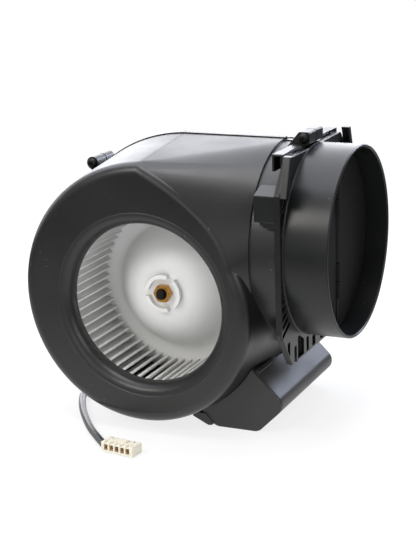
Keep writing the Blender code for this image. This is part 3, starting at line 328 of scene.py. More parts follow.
BRASS = drawn_metal("turned brass", "#d9a656", "#b57f38", 0.32)
ZINC_STEEL = drawn_metal("zinc plated steel sheet", "#b4b6b8", "#9b9da0", 0.36)
DARK_STEEL = drawn_metal("blackened screw steel", "#2e2e2f", "#3a3a3a", 0.42)
COPPER = drawn_metal("enamelled copper wire", "#b8683a", "#8f4a26", 0.38)
print("finishes", len(bpy.data.materials))

# %% [markdown]
# ## Shaping helpers
# Pieces start as a few kinds of body: a prism over an outline, a turned body, a loft through rings, and a
# convex hull. Exact booleans join and cut them. A finished piece is moved to its place in the room, gets
# smooth normals in which flat faces lead, rides on its body, and stands for its CAD nodes.


# %% Bodies
def body_of(name, bm):
    bmesh.ops.recalc_face_normals(bm, faces=bm.faces)
    mesh = bpy.data.meshes.new(name)
    bm.to_mesh(mesh)
    bm.free()
    return add_object(name, mesh)


def spot(axis, first, second, station):
    if axis == "X":
        return Vector((station, first, second))
    if axis == "Y":
        return Vector((first, station, second))
    return Vector((first, second, station))


def prism(name, outline, axis, low, high, edge=0.0):
    """Flat outline drawn out along an axis; edge rounds its sharp edges."""
    bm = bmesh.new()
    base = bm.faces.new([bm.verts.new(spot(axis, a, b, low)) for a, b in outline])
    grown = bmesh.ops.extrude_face_region(bm, geom=[base])
    moved = [item for item in grown["geom"] if isinstance(item, bmesh.types.BMVert)]
    bmesh.ops.translate(bm, verts=moved, vec=spot(axis, 0, 0, high - low))
    if edge:
        bmesh.ops.recalc_face_normals(bm, faces=bm.faces)
        sharp = [e for e in bm.edges if e.calc_face_angle(0.0) > math.radians(30)]
        bmesh.ops.bevel(bm, geom=sharp, offset=edge, segments=3, profile=0.5, affect="EDGES",
                        clamp_overlap=True)
    return body_of(name, bm)


def turned(name, profile, steps=96, axis="Y", centre=(0.0, 0.0, 0.0)):
    """Body turned from (radius, station) points; the profile may start and end on the axis."""
    bm = bmesh.new()
    rings = []
    for radius, station in profile:
        if radius < 1e-6:
            rings.append([bm.verts.new(Vector(centre) + spot(axis, 0, 0, station))])
            continue
        around = [spot(axis, a, b, station) for a, b in circle(0.0, 0.0, radius, steps)]
        rings.append([bm.verts.new(Vector(centre) + point) for point in around])
    closed = len(rings[0]) > 1
    pairs = list(zip(rings, rings[1:])) + ([(rings[-1], rings[0])] if closed else [])
    for one, two in pairs:
        for step in range(steps):
            after = (step + 1) % steps
            if len(one) == 1:
                bm.faces.new((one[0], two[after], two[step]))
            elif len(two) == 1:
                bm.faces.new((one[step], one[after], two[0]))
            else:
                bm.faces.new((one[step], one[after], two[after], two[step]))
    return body_of(name, bm)


def loft(name, rings):
    bm = bmesh.new()
    loops = [[bm.verts.new(point) for point in ring] for ring in rings]
    for lower, upper in zip(loops, loops[1:]):
        for index in range(len(lower)):
            after = (index + 1) % len(lower)
            bm.faces.new((lower[index], lower[after], upper[after], upper[index]))
    bm.faces.new(loops[0])
    bm.faces.new(loops[-1])
    return body_of(name, bm)


def hull(name, points):
    bm = bmesh.new()
    for point in points:
        bm.verts.new(point)
    made = bmesh.ops.convex_hull(bm, input=bm.verts)
    spare = [v for v in made["geom_interior"] + made["geom_unused"] if isinstance(v, bmesh.types.BMVert)]
    bmesh.ops.delete(bm, geom=list(set(spare)), context="VERTS")
    return body_of(name, bm)


def rectangle(low_a, high_a, low_b, high_b):
    return [(low_a, low_b), (high_a, low_b), (high_a, high_b), (low_a, high_b)]


def circle(centre_a, centre_b, radius, steps):
    turns = [math.tau * step / steps for step in range(steps)]
    return [(centre_a + radius * math.cos(t), centre_b + radius * math.sin(t)) for t in turns]


def polar(radius, degrees):
    return radius * math.cos(math.radians(degrees)), radius * math.sin(math.radians(degrees))


def rounded(corners, radius, steps=5, chosen=None):
    """Outline with its corners, or the chosen ones, replaced by arcs that fit their sides."""
    outline = []
    for index, corner in enumerate(corners):
        here = Vector(corner)
        before = Vector(corners[index - 1]) - here
        after = Vector(corners[(index + 1) % len(corners)]) - here
        half = before.angle(after) / 2
        reach = min(radius / math.tan(half), before.length * 0.49, after.length * 0.49)
        if (chosen is not None and index not in chosen) or half > math.radians(88):
            outline.append(tuple(here))
            continue
        arc = reach * math.tan(half)
        centre = here + (before.normalized() + after.normalized()).normalized() * (arc / math.sin(half))
        first = here + before.normalized() * reach - centre
        last = here + after.normalized() * reach - centre
        for step in range(steps + 1):
            arm = first.lerp(last, step / steps).normalized() * arc
            outline.append((centre.x + arm.x, centre.y + arm.y))
    return outline


def ring_profile(inner, outer, low, high, edge=0.4):
    return rounded([(inner, low), (outer, low), (outer, high), (inner, high)], edge, 3)


# %% Joining, placing and finishing
def bake(made):
    """Keep what an object's modifiers make as its plain mesh."""
    bpy.context.view_layer.update()
    graph = bpy.context.evaluated_depsgraph_get()
    mesh = bpy.data.meshes.new_from_object(made.evaluated_get(graph))
    made.modifiers.clear()
    made.data = mesh
    return made


def carve(base, *steps):
    """Join ("UNION") or cut ("DIFFERENCE") bodies in turn."""
    for operation, tool in steps:
        step = base.modifiers.new(operation + " " + tool.name, "BOOLEAN")
        step.operation = operation
        step.solver = "EXACT"
        step.object = tool
    bake(base)
    for operation, tool in steps:
        bpy.data.objects.remove(tool)
    return base


def gather(name, pieces):
    """One object from several bodies that touch or overlap."""
    bm = bmesh.new()
    for piece in pieces:
        bm.from_mesh(piece.data)
        bpy.data.objects.remove(piece)
    mesh = bpy.data.meshes.new(name)
    bm.to_mesh(mesh)
    bm.free()
    return add_object(name, mesh)


def settle(piece, body, material, slot, *nodes, sharp=32.0):
    """Move a finished piece to its place in the room and hand it to its body."""
    piece.data.transform(TO_ROOM)
    piece.data.materials.clear()
    piece.data.materials.append(material)
    piece.data.shade_smooth()
    piece.data.set_sharp_from_angle(angle=math.radians(sharp))
    lead = piece.modifiers.new("flat faces lead", "WEIGHTED_NORMAL")
    lead.keep_sharp = True
    bake(piece)
    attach(piece, body)
    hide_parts(*nodes)
    print(piece.name, "faces", len(piece.data.polygons))
    return piece


# %% [markdown]
# ## Lead
# The lead leaves a rubber gland low on the casing's left, drops to the floor, and runs forwards to an ivory
# connector. Its route is the list of points that the solid follows, smoothed into one curve.

# %% Lead
GAP = 0.3
SEAM = 85.6
DRAFT = 7.5
FACE_FILLET = 9.0
FLOOR_LEVEL = -FAN_CENTRE.z / MM
GLAND_ANGLE = -150.0
GLAND_STATION = 125.0
LEAD_RADIUS = 3.0
LEAD_STRAIGHT = 3.8
LEAD_DROP = ((-120.3, 121.6, -71.2), (-127, 111.9, -84.8), (-120.7, 97.2, -97.1))
LEAD_FLOOR = ((-96.3, 75.3), (-86.1, 61.1), (-83, 48), (-72.5, 28), (-60, 9), (-43, -13), (-28, -29))
LEAD_END_GAP = 2.0
CONNECTOR_MIDDLE = Vector((-0.2, -42.5, FLOOR_LEVEL + GAP + 4.0))
CONNECTOR_SIZE = Vector((29.0, 13.0, 8.0))
CONNECTOR_TURN = -8.0
START_RADIUS = 93.4
START_ANGLE = -65.0
OUTLET_HEIGHT = 42.0
SHOULDER_RADIUS = 77.4
SPAN = 205.0
GROWTH = (OUTLET_HEIGHT + SHOULDER_RADIUS - DRAFT - START_RADIUS) / SPAN


def scroll_radius(degrees):
    """Radius of the scroll at its front fillet; it widens clockwise, as seen from the front."""
    travel = (START_ANGLE - degrees) % 360.0
    if travel > SPAN + 1e-6:
        travel -= 360.0
    return START_RADIUS + GROWTH * travel


def draft_at(depth):
    return DRAFT * (depth - FACE_FILLET) / (SEAM - FACE_FILLET)


def smooth_route(points, step):
    guides = [points[0] * 2 - points[1]] + points + [points[-1] * 2 - points[-2]]
    route = [points[0]]
    for index in range(1, len(guides) - 2):
        a, b, c, d = guides[index - 1:index + 3]
        pieces = max(1, round((c - b).length / step))
        for piece in range(1, pieces + 1):
            t = piece / pieces
            route.append(0.5 * (2 * b + (c - a) * t + (2 * a - 5 * b + 4 * c - d) * t * t
                                + (3 * b - a - 3 * c + d) * t ** 3))
    return route


gland_wall = scroll_radius(GLAND_ANGLE) + draft_at(2 * SEAM - GLAND_STATION)
gland_seat = spot("Y", *polar(gland_wall, GLAND_ANGLE), GLAND_STATION)
gland_way = spot("Y", *polar(1.0, GLAND_ANGLE), 0.0)
GLAND_LEAN = GAP + DRAFT / (SEAM - FACE_FILLET) * 8.0
GLAND_END = GLAND_LEAN + 2.5 + 12.0
lead_start = gland_seat + gland_way * (GLAND_END + GAP)
lie = FLOOR_LEVEL + LEAD_RADIUS + GAP
ahead = spot("Z", *polar(1.0, CONNECTOR_TURN), 0.0)
lead_end = CONNECTOR_MIDDLE - ahead * (CONNECTOR_SIZE.x / 2 + LEAD_END_GAP)
lead_end.z = lie
route = [lead_start, lead_start + gland_way * LEAD_STRAIGHT] + [Vector(point) for point in LEAD_DROP]
route += [Vector((x, y, lie)) for x, y in LEAD_FLOOR] + [lead_end]
room_route = [TO_ROOM @ point for point in smooth_route(route, 4.0)]
lead_curve = bpy.data.curves.new("lead", "CURVE")
lead_curve.dimensions = "3D"
lead_curve.bevel_depth = LEAD_RADIUS * MM
lead_curve.bevel_resolution = 6
lead_curve.use_fill_caps = True
line = lead_curve.splines.new("POLY")
line.points.add(len(room_route) - 1)
for knot, point in zip(line.points, room_route):
    knot.co = (*point, 1.0)
line.use_smooth = True
lead = add_object("lead", lead_curve)
lead_curve.materials.append(SHEATH)
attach(lead, "casing")
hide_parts("supply_cable")

# %% Gland
nose = [(0.0, -4.4), (5.5, -4.4), (5.5, GLAND_LEAN), (8.0, GLAND_LEAN), (8.0, GLAND_LEAN + 1.9),
        (7.4, GLAND_LEAN + 2.5), (5.5, GLAND_LEAN + 2.5)]
GLAND_RIBS = 4
for rib in range(GLAND_RIBS):
    base = GLAND_LEAN + 2.7 + rib * 2.9
    girth = 5.5 - rib * 0.18
    nose += [(girth, base), (girth, base + 1.7), (girth - 0.9, base + 1.9), (girth - 0.9, base + 2.7)]
nose += [(4.6, GLAND_END), (0.0, GLAND_END)]
gland = turned("gland", nose, 40, "Z")
gland_turn = Vector((0, 0, 1)).rotation_difference(gland_way).to_matrix().to_4x4()
gland.data.transform(Matrix.Translation(gland_seat) @ gland_turn)
settle(gland, "casing", RUBBER, "rubber", "cable_gland")

# %% [markdown]
# The connector is a cream block with a row of square openings, a brass spring contact in each, and a
# toothed upper edge. The teeth, the openings and the contacts repeat, so a small geometry tree copies one
# to every point of a row.


# %% Copies on points
def new_tree(name, *extra):
    """Geometry tree with its sockets, and the outputs of its input node."""
    tree = bpy.data.node_groups.new(name, "GeometryNodeTree")
    for label, kind in (("Points", "Geometry"), ("Piece", "Object"), ("Finish", "Material"), *extra):
        tree.interface.new_socket(label, in_out="INPUT", socket_type="NodeSocket" + kind)
    tree.interface.new_socket("Geometry", in_out="OUTPUT", socket_type="NodeSocketGeometry")
    return tree, add_node(tree, "NodeGroupInput").outputs


def spread(tree, given, points, **turn):
    """Copies of the piece on the points, made real and given their finish."""
    piece = add_node(tree, "GeometryNodeObjectInfo", {"Object": given["Piece"]}).outputs["Geometry"]
    placed = add_node(tree, "GeometryNodeInstanceOnPoints", {"Points": points, "Instance": piece, **turn})
    whole = add_node(tree, "GeometryNodeRealizeInstances", {0: placed.outputs[0]}).outputs[0]
    dressed = add_node(tree, "GeometryNodeSetMaterial", {"Geometry": whole, "Material": given["Finish"]})
    add_node(tree, "NodeGroupOutput", {0: dressed.outputs[0]})
    return tree


points_tree, points_given = new_tree("copies on points")
POINTS_TREE = spread(points_tree, points_given, points_given["Points"])
print("tree", POINTS_TREE.name)


def run_tree(carrier, tree, **values):
    """Run a geometry tree on an object and keep the result as its plain mesh."""
    step = carrier.modifiers.new(tree.name, "NODES")
    step.node_group = tree
    for item in tree.interface.items_tree:
        if item.in_out == "INPUT" and item.name in values:
            step[item.identifier] = values[item.name]
    return bake(carrier)


def copies(name, piece, places, material):
    """Copies of a body that is drawn about the origin, one at each place; the body itself is used up."""
    mesh = bpy.data.meshes.new(name)
    mesh.from_pydata([tuple(place) for place in places], [], [])
    made = run_tree(add_object(name, mesh), POINTS_TREE, Piece=piece, Finish=material)
    bpy.data.objects.remove(piece)
    return made


def numbered(stem, count):
    return ["%s_%d" % (stem, number) for number in range(1, count + 1)]


# %% Connector
POLES = 5
POLE_PITCH = 5.0
HALF = CONNECTOR_SIZE / 2
pole_xs = [(pole - (POLES - 1) / 2) * POLE_PITCH for pole in range(POLES)]
block = prism("connector", rectangle(-HALF.x, HALF.x, -HALF.y, HALF.y), "Z", -HALF.z, HALF.z, edge=0.5)
# Cut at each pole: its name, outline, ends along Y, and place.
POLE_CUTS = (("opening", rectangle(-1.8, 1.8, -2.3, 2.3), -1.0, 6.0, -HALF.y, 0.2),
             ("notch", rectangle(-1.5, 1.5, -1.0, 1.8), -3.0, 4.6, -HALF.y, HALF.z),
             ("back", rectangle(-1.1, 1.1, -1.0, 1.2), -3.2, 1.0, HALF.y, HALF.z))
for name, shape, start, end, y, z in POLE_CUTS:
    row = [(x, y, z) for x in pole_xs]
    carve(block, ("DIFFERENCE", copies(name + "_row", prism(name, shape, "Y", start, end), row, NYLON)))
latch_shape = rounded(rectangle(-5.0, 5.0, -1.0, 3.2), 0.8)
latch = prism("connector_latch", latch_shape, "Z", HALF.z - 0.2, HALF.z + 1.2, 0.3)
block = gather("connector", [block, latch])
to_connector = Matrix.Translation(CONNECTOR_MIDDLE) @ Matrix.Rotation(math.radians(CONNECTOR_TURN), 4, "Z")
block.data.transform(to_connector)
settle(block, "casing", NYLON, "ivory_plastic", "connector_body")
spring_shape = [(-HALF.y + 0.7, -1.3), (-HALF.y + 5.6, -1.3), (-HALF.y + 5.6, 1.3), (-HALF.y + 0.7, 0.9),
                (-HALF.y + 0.7, 0.5), (-HALF.y + 5.0, 0.8), (-HALF.y + 5.0, -0.8), (-HALF.y + 0.7, -0.8)]
spring = prism("contact", spring_shape, "X", -1.45, 1.45)
contacts = copies("contacts", spring, [(x, 0.0, 0.2) for x in pole_xs], BRASS)
contacts.data.transform(to_connector)
settle(contacts, "casing", BRASS, "brass", *numbered("contact", POLES))

# %% [markdown]
# ## Casing
# Each half is a drafted scroll with a rounded face edge, a duct that swells from the face to a round
# shoulder, and half of the outlet's neck. The halves are made by the formulas of the solid, with many more
# points, so that the walls read as smooth curves. A bell-shaped ring with a fine bead round it forms each
# inlet.

# %% Scroll
DEPTH = 2 * SEAM
WALL = 2.5
TONGUE_ANGLE = 24.0
TOP_ANGLE = 90.0
CREASE_BULGE = Vector((72.4, 77.0))
SPIRAL_POINTS = 160
CREASE_POINTS = 22
ROUND_STEPS = 120
SEAM_GROOVE = 1.1


def crease_curve(inset):
    top = Vector(polar(scroll_radius(TOP_ANGLE) - inset, TOP_ANGLE))
    end = Vector(polar(scroll_radius(TONGUE_ANGLE) - inset, TONGUE_ANGLE))
    bulge = CREASE_BULGE * (1 - inset / CREASE_BULGE.length)
    shares = [step / (CREASE_POINTS + 1) for step in range(1, CREASE_POINTS + 1)]
    points = [top * (1 - t) ** 2 + bulge * 2 * t * (1 - t) + end * t * t for t in shares]
    return [(point.x, point.y) for point in points]


def scroll_outline(inset):
    sweep = TONGUE_ANGLE + 360.0 - TOP_ANGLE
    turns = [TONGUE_ANGLE - sweep * step / SPIRAL_POINTS for step in range(SPIRAL_POINTS + 1)]
    return [polar(scroll_radius(turn) - inset, turn) for turn in turns] + crease_curve(inset)


def to_station(depth, rear):
    return DEPTH - depth if rear else depth


def fillet_rings(wall, steps):
    """Depth and inset of each ring of the rounded face edge."""
    fillet = FACE_FILLET - wall
    turns = [math.pi / 2 * step / steps for step in range(steps + 1)]
    return [(wall + fillet * (1 - math.cos(t)), wall + fillet * (1 - math.sin(t))) for t in turns]


def scroll_body(name, wall, seam_depth, steps, rear):
    rings = fillet_rings(wall, steps) + [(seam_depth, wall - draft_at(seam_depth))]
    return loft(name, [[spot("Y", x, z, to_station(depth, rear)) for x, z in scroll_outline(inset)]
                       for depth, inset in rings])


# %% Duct and neck
SHOULDER_X = 86.0
NECK_ROOT = 66.0
NECK_RADIUS = 75.5
NECK_END = 107.0
CREASE_SINK = 0.2
DUCT_START = 1.0
FILLET_STEPS = 9


def half_circle(radius):
    """Front half of an outlet circle as (depth, z), from the lowest point to the highest."""
    turns = [math.pi * step / (ROUND_STEPS / 2) for step in range(ROUND_STEPS // 2 + 1)]
    return [(SEAM - radius * math.sin(t), OUTLET_HEIGHT - radius * math.cos(t)) for t in turns]


def duct_body(name, wall, seam_depth, rear):
    points = []
    for depth, inset in fillet_rings(wall, FILLET_STEPS):
        points += [(x, depth + CREASE_SINK, z) for x, z in crease_curve(inset + CREASE_SINK)]
    top = OUTLET_HEIGHT + SHOULDER_RADIUS - wall - CREASE_SINK / 2
    points += [(DUCT_START, FACE_FILLET, top - DRAFT)]
    points += [(DUCT_START, seam_depth, top), (DUCT_START, seam_depth, OUTLET_HEIGHT)]
    for x, shrink in ((SHOULDER_X - wall, 0.0), (NECK_ROOT, (SHOULDER_X - NECK_ROOT) / 2)):
        arc = half_circle(SHOULDER_RADIUS - wall - shrink)
        points += [(x, min(depth, seam_depth), z) for depth, z in arc]
        points += [(x, seam_depth, arc[0][1]), (x, seam_depth, arc[-1][1])]
    return hull(name, [Vector((x, to_station(depth, rear), z)) for x, depth, z in points])


def half_neck(name, radius, low, high, seam_depth, rear):
    arc = [(min(depth, seam_depth), z) for depth, z in half_circle(radius)]
    outline = [(seam_depth, arc[0][1])] + arc[1:-1] + [(seam_depth, arc[-1][1])]
    return prism(name, [(to_station(depth, rear), z) for depth, z in outline], "X", low, high)


# %% Inlet ring and screw bosses
INLET_RADIUS = 63.3
BELL_RADIUS = 72.7
BELL_DEPTH = 10.6
BELL_LIP = 2.4
BELL_WALL = 1.8
MOUTH_MARGIN = 0.85
BEAD = 0.5
BOSS_RADIUS = 5.2
BOSS_FRONT = 15.0
BOSS_REAR = 14.0
LEFT_ANGLE = 128.6
left_wall = scroll_radius(LEFT_ANGLE) + DRAFT
BOSSES = {
    "left": (polar(left_wall + 4.5, LEFT_ANGLE), polar(left_wall - WALL, LEFT_ANGLE)),
    "neck_top": ((107.7, OUTLET_HEIGHT + NECK_RADIUS + 5.6), (97.0, OUTLET_HEIGHT + NECK_RADIUS - WALL)),
    "neck_low": ((94.0, OUTLET_HEIGHT - NECK_RADIUS - 6.0), (94.0, OUTLET_HEIGHT - NECK_RADIUS + WALL)),
}


def bell_mouth(name, rear):
    turns = [math.pi / 2 * step / 14 for step in range(15)]
    reach = BELL_RADIUS - INLET_RADIUS
    front = [(BELL_RADIUS - reach * math.sin(t), BELL_DEPTH * (1 - math.cos(t)) + 0.25) for t in turns]
    back = [(BELL_RADIUS - (reach - BELL_WALL) * math.sin(t),
             BELL_DEPTH - (BELL_DEPTH - BELL_WALL) * math.cos(t) + 0.25) for t in turns]
    lip = BELL_DEPTH + BELL_LIP
    rim = BELL_RADIUS + 3.3
    middle = BELL_RADIUS + BEAD
    bead = [(middle - BEAD * math.cos(t * 2), 0.25 - BEAD * math.sin(t * 2)) for t in turns[1:]]
    profile = [(rim, 1.4), (middle + BEAD, 1.4)] + bead[::-1] + front
    profile += [(INLET_RADIUS, lip), (INLET_RADIUS + BELL_WALL, lip)] + back[::-1] + [(rim, 2.3)]
    return turned(name, [(radius, to_station(depth, rear)) for radius, depth in profile], ROUND_STEPS)


def boss_body(name, centre, root, low, high):
    """Screw boss with a web to its root; the one on top of the neck is a squarish block."""
    points = circle(*centre, BOSS_RADIUS, 32)
    if name == "boss_neck_top":
        x, z = centre
        points = rounded(rectangle(x - 4.8, x + 4.8, z - 4.8, z + 4.8), 1.6, 4)
    points += circle(*root, 3.1, 16)
    return hull(name, [Vector((x, station, z)) for x, z in points for station in (low, high)])


# %% Casing halves
def casing_half(name, rear):
    half = SEAM - SEAM_GROOVE / 2
    past = SEAM + 1.0
    steps = [("UNION", duct_body("duct", 0.0, half, rear)),
             ("UNION", half_neck("neck", NECK_RADIUS, NECK_ROOT, NECK_END, half, rear))]
    length = BOSS_REAR if rear else BOSS_FRONT
    for boss, (centre, root) in BOSSES.items():
        ends = sorted((to_station(half, rear), to_station(SEAM - length, rear)))
        steps.append(("UNION", boss_body("boss_" + boss, centre, root, *ends)))
    steps += [("DIFFERENCE", scroll_body("scroll_room", WALL, past, 2, rear)),
              ("DIFFERENCE", duct_body("duct_room", WALL, past, rear)),
              ("DIFFERENCE", half_neck("neck_room", NECK_RADIUS - WALL, NECK_ROOT, NECK_END + 1.0, past,
                                       rear))]
    low, high = sorted((to_station(-1.0, rear), to_station(WALL + 1.0, rear)))
    mouth = [(0.0, low), (BELL_RADIUS + MOUTH_MARGIN, low), (BELL_RADIUS + MOUTH_MARGIN, high), (0.0, high)]
    steps += [("DIFFERENCE", turned("mouth", mouth, ROUND_STEPS)), ("UNION", bell_mouth("bell", rear))]
    return carve(scroll_body(name, 0.0, half, FILLET_STEPS, rear), *steps)


front_half = casing_half("casing_front", False)
settle(front_half, "casing", CASING_BLACK, "black_plastic", "front_casing")
rear_half = casing_half("casing_rear", True)
FOOT_RADIUS = 79.0
ARM_ANGLES = (75.0, 195.0, 315.0)
for degrees in ARM_ANGLES:
    place = circle(*polar(FOOT_RADIUS, degrees), 4.5, 32)
    carve(rear_half, ("UNION", prism("damper_boss", place, "Y", DEPTH - WALL - 8.0, DEPTH - WALL + 1.0)))
settle(rear_half, "casing", CASING_BLACK, "black_plastic", "rear_casing")

# %% [markdown]
# The halves meet in a tongue and groove. From outside it is a dark line, about a millimetre wide. The
# tongue is a thin band, a little lower than the walls, that closes this line. Behind it the rear half has a
# raised lip, whose edge catches the light.

# %% Seam tongue and lip
TONGUE_DROP = 0.9
LIP_RISE = 0.9
LIP_WIDTH = 6.0


def seam_section(name, inset, low, high):
    """Section of the whole casing at the seam."""
    top = OUTLET_HEIGHT + SHOULDER_RADIUS - inset
    root = SHOULDER_RADIUS - (SHOULDER_X - NECK_ROOT) / 2 - inset
    duct = [(DUCT_START, OUTLET_HEIGHT), (NECK_ROOT, OUTLET_HEIGHT - root),
            (SHOULDER_X, OUTLET_HEIGHT - SHOULDER_RADIUS + inset), (SHOULDER_X, top), (DUCT_START, top)]
    reach = NECK_RADIUS - inset
    neck = rectangle(NECK_ROOT, NECK_END - 1.0, OUTLET_HEIGHT - reach, OUTLET_HEIGHT + reach)
    return carve(prism(name, scroll_outline(inset - DRAFT), "Y", low, high),
                 ("UNION", prism("seam_duct", duct, "Y", low + 0.05, high - 0.05)),
                 ("UNION", prism("seam_neck", neck, "Y", low + 0.1, high - 0.1)))


NECK_MOUTH = (NECK_END - 5.0, NECK_END, OUTLET_HEIGHT - 60.0, OUTLET_HEIGHT + 60.0)


def seam_band(name, top, bottom, low, high, *clear):
    """Band along the seam between two insets, with the neck's mouth and other rectangles kept clear."""
    steps = [("DIFFERENCE", seam_section("band_room", bottom, low - 2.0, high + 2.0))]
    for limits in (NECK_MOUTH, *clear):
        steps.append(("DIFFERENCE", prism("clear", rectangle(*limits), "Y", low - 1.0, high + 1.0)))
    return carve(seam_section(name, top, low, high), *steps)


tongue = seam_band("seam_tongue", TONGUE_DROP, WALL - 0.1, SEAM - 2.0, SEAM + 2.0)
settle(tongue, "casing", CASING_BLACK, "black_plastic")
lip_low = SEAM + SEAM_GROOVE / 2
UNDER_SCROLL = (-60.0, 20.0, -130.0, FLOOR_LEVEL + 0.1)
AT_BOX = (26.0, 130.0, -110.0, -34.0)
lip = seam_band("seam_lip", -LIP_RISE, 1.5, lip_low, lip_low + LIP_WIDTH, UNDER_SCROLL, AT_BOX)
settle(lip, "casing", CASING_BLACK, "black_plastic")

# %% [markdown]
# ## Wheel
# The wheel is one white moulding: a dished disc with a hub, two end rings, and sixty blades that lean into
# the turn. One blade is drawn as a thin curved plate, and a geometry tree repeats it round the fan axis.

# %% Blade tree
WHEEL_RADIUS = 77.2
WHEEL_FRONT = 15.0
WHEEL_REAR = DEPTH - WHEEL_FRONT
BLADE_COUNT = 60
BLADE_INNER = 64.8
BLADE_OUTER = 76.5
BLADE_SWEEP = 8.5
BLADE_THICKNESS = 1.9

round_tree, round_given = new_tree("copies round the axis", ("Count", "Int"))
count_points = add_node(round_tree, "GeometryNodePoints", {"Count": round_given["Count"]}).outputs[0]
index = add_node(round_tree, "GeometryNodeInputIndex").outputs[0]
angle = maths(round_tree, "MULTIPLY", maths(round_tree, "DIVIDE", index, round_given["Count"]), math.tau)
turn = add_node(round_tree, "ShaderNodeCombineXYZ", {"Y": angle}).outputs[0]
way = add_node(round_tree, "FunctionNodeEulerToRotation", {0: turn}).outputs[0]
ROUND_TREE = spread(round_tree, round_given, count_points, Rotation=way)
print("tree", ROUND_TREE.name)


def copies_round(name, piece, count, material):
    made = run_tree(add_object(name, bpy.data.meshes.new(name)), ROUND_TREE, Piece=piece, Count=count,
                    Finish=material)
    bpy.data.objects.remove(piece)
    return made


# %% Blades, disc and rings
def blade_outline():
    """Thin curved section of one blade; it sweeps forwards as it goes out."""
    steps = 9
    line = []
    for step in range(steps + 1):
        share = step / steps
        radius = BLADE_INNER + (BLADE_OUTER - BLADE_INNER) * share
        line.append(Vector(polar(radius, -BLADE_SWEEP * share ** 1.5)))
    sides = []
    for index, point in enumerate(line):
        run = (line[min(index + 1, steps)] - line[max(index - 1, 0)]).normalized()
        taper = BLADE_THICKNESS / 2 * (1.0 - 0.5 * (index / steps) ** 3)
        sides.append((point, Vector((-run.y, run.x)) * taper))
    return [tuple(p + s) for p, s in sides] + [tuple(p - s) for p, s in sides[::-1]]


blades = copies_round("blades", prism("blade", blade_outline(), "Y", WHEEL_FRONT + 1.0, WHEEL_REAR - 1.0),
                      BLADE_COUNT, WHEEL_WHITE)
DISC_STATION = 72.0
DISC_THICKNESS = 2.2
HUB_STATION = 41.0
HUB_RADIUS = 16.0
DISH_RADIUS = 51.0
DISC_EDGE = 57.0
dish = []
for step in range(25):
    share = step / 24
    dish.append((HUB_RADIUS + (DISH_RADIUS - HUB_RADIUS) * share,
                 HUB_STATION + (DISC_STATION - 4.0 - HUB_STATION) * share ** 2.2))
web = [(4.3, HUB_STATION)] + dish
web += [(53.5, 70.2), (DISC_EDGE, 71.7), (60.0, DISC_STATION), (WHEEL_RADIUS, DISC_STATION)]
web += [(WHEEL_RADIUS, DISC_STATION + DISC_THICKNESS), (DISC_EDGE, DISC_STATION + DISC_THICKNESS)]
web += [(radius, station + DISC_THICKNESS) for radius, station in dish[::-1]]
web += [(10.0, HUB_STATION + DISC_THICKNESS), (10.0, HUB_STATION + 19.0), (4.3, HUB_STATION + 19.0)]
disc = turned("disc", web, 144)
rings = [turned("end_ring", ring_profile(67.5, WHEEL_RADIUS, low, low + 3.0, 0.6), 144)
         for low in (WHEEL_FRONT, WHEEL_REAR - 3.0)]
print("blades", BLADE_COUNT)

# %% Hub crown
CROWN_TEETH = 3
CROWN_ARC = 98.0
CROWN_TURN = 120.0
arc = [CROWN_ARC * (step / 16 - 0.5) + CROWN_TURN for step in range(17)]
tooth_shape = [polar(15.5, turn) for turn in arc] + [polar(12.0, turn) for turn in arc[::-1]]
tooth = prism("crown_tooth", tooth_shape, "Y", HUB_STATION - 4.5, HUB_STATION + 1.0, edge=0.45)
crown = copies_round("crown", tooth, CROWN_TEETH, WHEEL_WHITE)
wheel = gather("wheel", [blades, disc, crown] + rings)
settle(wheel, "rotor", WHEEL_WHITE, "white_plastic", "fan_wheel")

# %% [markdown]
# A brass nut with a plain washer face holds the wheel on the steel shaft, whose dark end shows in its
# middle.

# %% Nut and shaft
NUT_HEIGHT = 5.5
NUT_RADIUS = 7.6
nut_end = HUB_STATION - GAP
nut_start = nut_end - NUT_HEIGHT
blank = prism("hub_nut_brass", circle(0.0, 0.0, NUT_RADIUS, 6), "Y", nut_start, nut_end, edge=0.35)
cone = turned("nut_chamfer", [(0.0, nut_start - 1.0), (NUT_RADIUS - 2.6, nut_start - 1.0),
                              (NUT_RADIUS + 1.2, nut_start + 2.2), (NUT_RADIUS + 1.2, nut_end + 1.0),
                              (0.0, nut_end + 1.0)], 64)
bore = turned("nut_bore", [(0.0, nut_start - 2.0), (5.1, nut_start - 2.0), (4.3, nut_start + 0.8),
                           (4.3, nut_end + 2.0), (0.0, nut_end + 2.0)], 48)
nut = carve(blank, ("INTERSECT", cone), ("DIFFERENCE", bore))
settle(nut, "rotor", BRASS, "brass", "hub_nut")
SHAFT_RADIUS = 4.0
SHAFT_REAR = 135.0
shaft_front = nut_start - 3.0
shaft_line = [(0.0, shaft_front + 0.8), (0.9, shaft_front), (SHAFT_RADIUS - 0.7, shaft_front),
              (SHAFT_RADIUS, shaft_front + 0.7), (SHAFT_RADIUS, SHAFT_REAR - 0.6),
              (SHAFT_RADIUS - 0.6, SHAFT_REAR), (0.0, SHAFT_REAR)]
flats = [prism("flat", rectangle(*span, -6.0, 6.0), "Y", shaft_front - 1.0, nut_start - 0.3)
         for span in ((-6.0, -3.1), (3.1, 6.0))]
shaft = carve(turned("shaft", shaft_line, 48), *[("DIFFERENCE", flat) for flat in flats])
settle(shaft, "rotor", DARK_STEEL, "steel", "motor_shaft")

# %% [markdown]
# ## Outlet collar
# A ribbed plate carries the round collar for the duct. Pockets and slots lighten the plate, hooked blocks
# clip it over the neck, slanted arms stiffen its shoulders, and two hoods on top cover the hood's fixing
# tongues. It is one moulding, so the bodies are joined into one mesh, at the places of the solid and with
# rounded edges.

